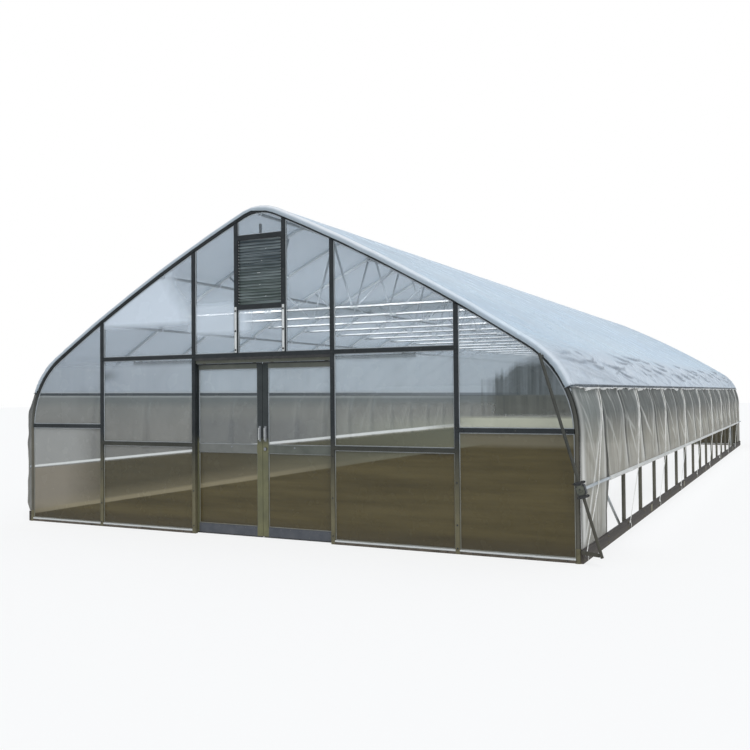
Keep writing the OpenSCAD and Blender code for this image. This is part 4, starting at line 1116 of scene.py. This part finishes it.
def beads(kit, obj, side, width, proud):
    """A glazing bead: a bevelled strip just inside the outline of every sheet."""
    loops, y = outlines(obj, side)
    for loop in map(thin, loops):
        rings = ((0.0006, 0.0), (0.0008, proud), (width - 0.002, proud), (width, 0.0))
        v = [(x, y + side * out, z) for d, out in rings for x, z in inset(loop, d)]
        kit.add(v, ring_faces(4, len(loop), caps=False))


kit = Kit()
for side, wall in ENDS:
    for part in ("lower", "upper", "gable"):
        beads(kit, nodes[f"{wall}_{part}_panels"], side, 0.011, 0.0045)
kit.done("glazing_beads", "bead", "aluminium")
for door in ("left", "right"):
    kit = Kit()
    for side in (-1, 1):
        beads(kit, nodes[f"{door}_door_panes"], side, 0.01, 0.005)
    kit.done(f"{door}_door_beads", "bead", "aluminium", f"{door}_door")

# bolts and corner plates on the studs
BOLTS = (
    (0.01, [(STUD_X, z) for z in (0.062, 0.32, 0.79, 1.16, 1.4, 2.245, HEADER_Z)]),
    (0.009, [(JAMB_X, z) for z in (0.1, 0.55, 1.05, 1.6, 2.1, HEADER_Z)]
     + [(x, z) for x in (1.35, 2.2, 2.56) for z in (HEADER_Z, GIRT_Z)]
     + [(x, OUTER_GIRT_Z) for x in (2.69, 3.3, 3.86)] + [(VENT_STUD_X, z) for z in (2.98, 3.34, 3.7, 3.86)]),
    (0.008, [(x, 0.022) for x in (1.2, 1.9, 2.5, 2.8, 3.4, 3.85)]))
# where a rail meets a stud, and the way the rail runs from it
CORNERS = ((STUD_X, GIRT_Z, -1), (STUD_X, HEADER_Z, -1), (JAMB_X, GIRT_Z, 1), (JAMB_X, HEADER_Z, 1),
           (STUD_X, OUTER_GIRT_Z, 1))
kit, plates, bright = Kit(), Kit(), Kit()
for end, _ in ENDS:
    y = end * FACE
    for side in (-1, 1):
        for d, spots in BOLTS:
            for x, z in spots:
                kit.bolt((side * x, y, z), (0, end, 0), d)
        for x, z, way in CORNERS:
            for a, b, h in ((-0.022, 0.022, 0.022), (0.02, 0.085, 0.02)):
                plates.block((side * (x + way * a), y, z - h), (side * (x + way * b), y + end * 0.003, z + h))
        # a bright channel on the stud under the vent, with its bolts
        x = side * VENT_STUD_X - 0.003
        bright.block((x - 0.016, y, 2.326), (x + 0.016, y + end * 0.004, 2.905), 0.0012)
        for z in (2.36, 2.6, 2.855):
            kit.bolt((x, y + end * 0.004, z), (0, end, 0), 0.0125)
kit.done("wall_bolts", "dark_fitting")
plates.done("corner_plates", "tube_steel")
bright.done("vent_stud_channels", "bright_plate", "galvanized")

# band clamps round the end bows, at the stud tops and the purlins
kit = Kit()
for end, _ in ENDS:
    for x in (VENT_STUD_X, JAMB_X, 1.56, STUD_X, 3.35):
        for side, _ in SIDES:
            c, n, up = at_arch(s_at_x(x), side, end * WALL)
            kit.turned(c - up * 0.018, up, [(0, BOW_R + 0.0003), (0.001, BOW_R + 0.0017), (0.035, BOW_R + 0.0017),
                                            (0.036, BOW_R + 0.0003)], 20)
            lug = c + np.array([0, end * (BOW_R + 0.006), 0]) - n * 0.014
            kit.turned(lug - up * 0.016, up, [(0, 0.0075), (0.032, 0.0075)], 8)
            kit.bolt(lug + np.array([0, end * 0.007, 0]), (0, end, 0), 0.008)
kit.done("bow_clamps", "tube_steel")


# a hood over the door track, olive in front of the rail, with a dark back sheet above it that is both flashing and
# painted shade, standing for the shadow in the gap over the track
def along_track(p, q, r):
    return r, -WALL + p - 0.028, q


hood, back = Kit(), Kit()
hood.extrude([(0.0195, 2.2005), (0.0205, 2.2005), (0.0235, 2.203), (0.0235, 2.2335), (0.01, 2.24),
              (0.01, 2.2385), (0.0215, 2.2325), (0.0215, 2.204)], -1.0085, 1.0085, along_track)
back.extrude([(0.0265, 2.204), (0.0285, 2.204), (0.0285, 2.27), (0.005, 2.27), (0.005, 2.241),
              (0.0265, 2.241)], -1.009, 1.009, along_track)
hood.done("track_hood", "rail_steel", "aluminium")
back.done("track_hood_shade_back", "dark_fitting")

# ------------------------------------------------------------ vent blades
HALF_W = 0.3208
# a blade's section: height in pitches, and how far in it stands
SECTION = np.array([(-0.5, 0.0065), (-0.455, 0.005), (-0.42, 0.0005), (-0.25, 0.003), (0.0, 0.004),
                    (0.28, 0.0022), (0.44, -0.002), (0.475, 0.0035)])
h = np.concatenate([SECTION[:, 0], SECTION[::-1, 0]]) * PITCH * 1.1
d = np.concatenate([SECTION[:, 1], SECTION[::-1, 1] - 0.0012])
xs = np.linspace(-HALF_W, HALF_W, 15)
for side, wall in ENDS:
    rng = np.random.default_rng(14 + side)
    kit, pins = Kit(), Kit()
    levels = [VENT_LOW + VENT_EDGE + (k + 0.5) * PITCH for k in range(BLADES)]
    for zc in levels:
        tilt = radians(24 + rng.uniform(-3.5, 3.5))
        droop = rng.uniform(0.0, 0.0035)
        twist = radians(rng.uniform(-3.0, 3.0))
        v = []
        for x in xs:
            a = tilt + twist * (x / HALF_W)
            depth = h * sin(a) + d * cos(a)
            z = zc + h * cos(a) - d * sin(a) - droop * (1 - (x / HALF_W) ** 2)
            v.append(np.stack([np.full(len(h), x), side * (WALL - depth), z], 1))
        kit.add(v, ring_faces(len(xs), len(h)))
    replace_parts(kit.done(f"{wall}_vent_blades", "vent_slate", "dark_fitting"), f"{wall}_vent_slats")
    for k, zc in enumerate(levels):
        for x in (0.006 - HALF_W, HALF_W - 0.006):
            pins.turned((x, side * (WALL + 0.01), zc), (0, side, 0), [(0, 0.005), (0.004, 0.005), (0.005, 0.0035)], 8)
        x = 0.02 + 0.12 * rng.uniform(-1, 1)
        if k % 4 == 2:
            w = 0.024 if k == 10 else 0.009
            pins.block((x - w, side * (WALL + 0.009), zc - 0.002), (x + w, side * (WALL + 0.013), zc + 0.003))
    pins.done(f"{wall}_vent_pins", "bright_plate", "galvanized")

# --------------------------------------------------------- curtain drives
POLE_TOP_Z = 2.175
lean = atan((ROLL_X - float(arch(s_at_z(POLE_TOP_Z), 0.0)[0])) / (POLE_TOP_Z - ROLL_H))
turn = np.array([[cos(lean), 0, -sin(lean)], [0, 1, 0], [sin(lean), 0, cos(lean)]])
DRIVE = np.array([ROLL_X, -WALL - 0.13, ROLL_H])


def rounded(w, h, r, n=4):
    """Outline of a rounded rectangle, w by h, as (x, z)."""
    pts = []
    for cx, cz, a0 in ((1, 1, 0), (-1, 1, 90), (-1, -1, 180), (1, -1, 270)):
        for a in np.radians(a0 + 90 * np.arange(n + 1) / n):
            pts.append((cx * (w / 2 - r) + r * cos(a), cz * (h / 2 - r) + r * sin(a)))
    return pts


case, cover, pins = Kit(), Kit(), Kit()
for spin in (1, -1):  # one at the front right corner, one at the back left
    flip = np.array([spin, spin, 1.0])

    def place(p):
        return (np.asarray(p, float) @ turn.T + DRIVE) * flip

    def shell(kit, w, h, y0, y1, r, cz=0.0, taper=0.0):
        a, b = rounded(w, h, r), rounded(w - taper, h - taper, max(r - taper / 2, 0.002))
        kit.add([place((x, y, z + cz)) for y, ring in ((y0, a), (y1, b)) for x, z in ring], ring_faces(2, len(a)))

    def pin(kit, at, axis, profile, sides=14):
        kit.turned(place(at), np.asarray(axis, float) @ turn.T * flip, profile, sides)

    shell(case, 0.098, 0.112, -0.03, 0.031, 0.016)
    shell(case, 0.09, 0.104, 0.031, 0.036, 0.014, taper=0.008)
    for cz in (0.0735, -0.0735):
        for y in (-0.02, 0.02):
            shell(case, 0.105, 0.03, y, y + 0.006, 0.006, cz=cz)
        for way in (-1, 1):
            pin(pins, (0.037 * way, -0.027, cz), (0, 1, 0), [
                (0, 0.004), (0.003, 0.007), (0.006, 0.0085), (0.008, 0.012), (0.02, 0.0095), (0.027, 0.0085),
                (0.034, 0.0095), (0.046, 0.012), (0.05, 0.0085), (0.056, 0.004)])
            pin(pins, (0.049 * way, 0.0, cz), (way, 0, 0),
                [(0, 0.006), (0.01, 0.006), (0.011, 0.01), (0.016, 0.01), (0.018, 0.007)], 10)
    shell(cover, 0.082, 0.096, -0.0375, -0.03, 0.012, taper=0.006)
    for k in range(3):
        shell(cover, 0.052, 0.004, -0.0395, -0.0375, 0.0018, cz=-0.034 + 0.008 * k)
    for cx in (-0.032, 0.032):
        for cz in (-0.039, 0.039):
            pin(pins, (cx, -0.0375, cz), (0, -1, 0),
                [(-0.001, 0.0062), (0.0012, 0.0062), (0.0014, 0.0045), (0.0042, 0.0045)], 6)
    pin(cover, (0.0, -0.0375, 0.008), (0, -1, 0),
        [(0, 0.026), (0.004, 0.026), (0.006, 0.021), (0.012, 0.0195), (0.013, 0.015)], 24)
    pin(pins, (0.0, -0.048, 0.008), (0, -1, 0), [(0, 0.0085), (0.012, 0.0085), (0.0135, 0.007)], 6)
    pin(pins, (0.0, 0.036, 0.0), (0, 1, 0),
        [(0, 0.026), (0.02, 0.026), (0.022, 0.0225), (0.052, 0.0225), (0.053, 0.0185)], 20)
    pin(pins, (0.0, 0.066, 0.0), (1, 0, 0), [(0.02, 0.005), (0.028, 0.005), (0.029, 0.009), (0.034, 0.009)], 8)
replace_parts(case.done("drive_housings", "dark_fitting"), "curtain_gearboxes")
cover.done("drive_covers", "rail_steel", "dark_fitting")
pins.done("drive_fittings", "dark_fitting")

# ------------------------------------------------------------ door details
LEAF = -WALL + 0.035  # front face of the leaves
BEHIND = -WALL + 0.0605  # back face of the hanger straps
FORWARD = (0, -1, 0)
for door, side in (("left", -1), ("right", 1)):
    kit, soft, shine = Kit(), Kit(), Kit()
    # brush seal above the leaf, sweep below it and a rubber nose on the meeting stile
    for x0, x1, y0, y1, z0, z1 in ((0.006, 1.041, 0.001, 0.013, 2.1795, 2.1975),
                                   (0.006, 1.041, 0.01, 0.018, 0.0045, 0.0205),
                                   (0.0008, 0.003, 0.012, 0.026, 0.03, 2.16)):
        soft.block((side * x0, LEAF + y0, z0), (side * x1, LEAF + y1, z1))
    # screwed corner plates, kick plate and handle backplate
    for z in (2.1525, 0.0775, 1.11):
        for x in (0.041, 1.02):
            for d in (-0.012, 0.012):
                kit.bolt((side * (x + d), LEAF, z + d), FORWARD, 0.006)
    kit.block((side * 0.1, LEAF - 0.0016, 0.03), (side * 0.975, LEAF, 0.126), 0.0008)
    for x in np.linspace(0.13, 0.945, 7):
        for z in (0.04, 0.116):
            shine.turned((side * x, LEAF - 0.0014, z), FORWARD, [(0, 0.0042), (0.0012, 0.0036), (0.0018, 0.0015)], 8)
    shine.block((side * 0.0265, LEAF - 0.002, 1.205), (side * 0.0565, LEAF, 1.395), 0.0008)
    shine.turned((side * 0.47, LEAF, 1.13), FORWARD, [(0, 0.011), (0.003, 0.011), (0.005, 0.007), (0.006, 0.002)], 14)
    if side > 0:  # the lock's face and its slot
        shine.turned((0.0415, LEAF - 0.0121, 1.11), FORWARD, [
            (0, 0.0205), (0.0006, 0.0205), (0.0014, 0.019), (0.0015, 0.0095), (0.003, 0.0085), (0.0032, 0.006)], 24)
        soft.block((0.0405, LEAF - 0.0156, 1.105), (0.0425, LEAF - 0.015, 1.115), 0.0002)
    # the wheels' axle nuts, and the nuts of the hanger straps
    for x in (0.1325, 0.915):
        shine.turned((side * x, BEHIND, 2.2797), (0, 1, 0),
                     [(0, 0.012), (0.002, 0.012), (0.0022, 0.0095), (0.01, 0.0095), (0.011, 0.008)], 6)
        for dx in (-0.014, 0.014):
            shine.turned((side * (x + dx), BEHIND, 2.196), (0, 1, 0), [(0, 0.006), (0.004, 0.006), (0.005, 0.005)], 6)
    leaf = f"{door}_door"
    kit.done(leaf + "_plates", "leaf_steel", "tube_steel", leaf)
    soft.done(leaf + "_seals", "dark_fitting", body=leaf)
    shine.done(leaf + "_screws", "bright_bolt", "galvanized", leaf)

# end stops on the track
STOP_X = 2.088
kit = Kit()
for side, _ in SIDES:
    x = side * STOP_X
    kit.block((x - 0.009, -WALL + 0.0385, 2.2522), (x + 0.009, -WALL + 0.0515, 2.275), 0.002)
    kit.block((x - 0.012, -WALL + 0.0502, 2.208), (x + 0.012, -WALL + 0.054, 2.269))
    kit.bolt((x, -WALL + 0.054, 2.226), (0, 1, 0), 0.008)
kit.done("track_stops", "dark_fitting")
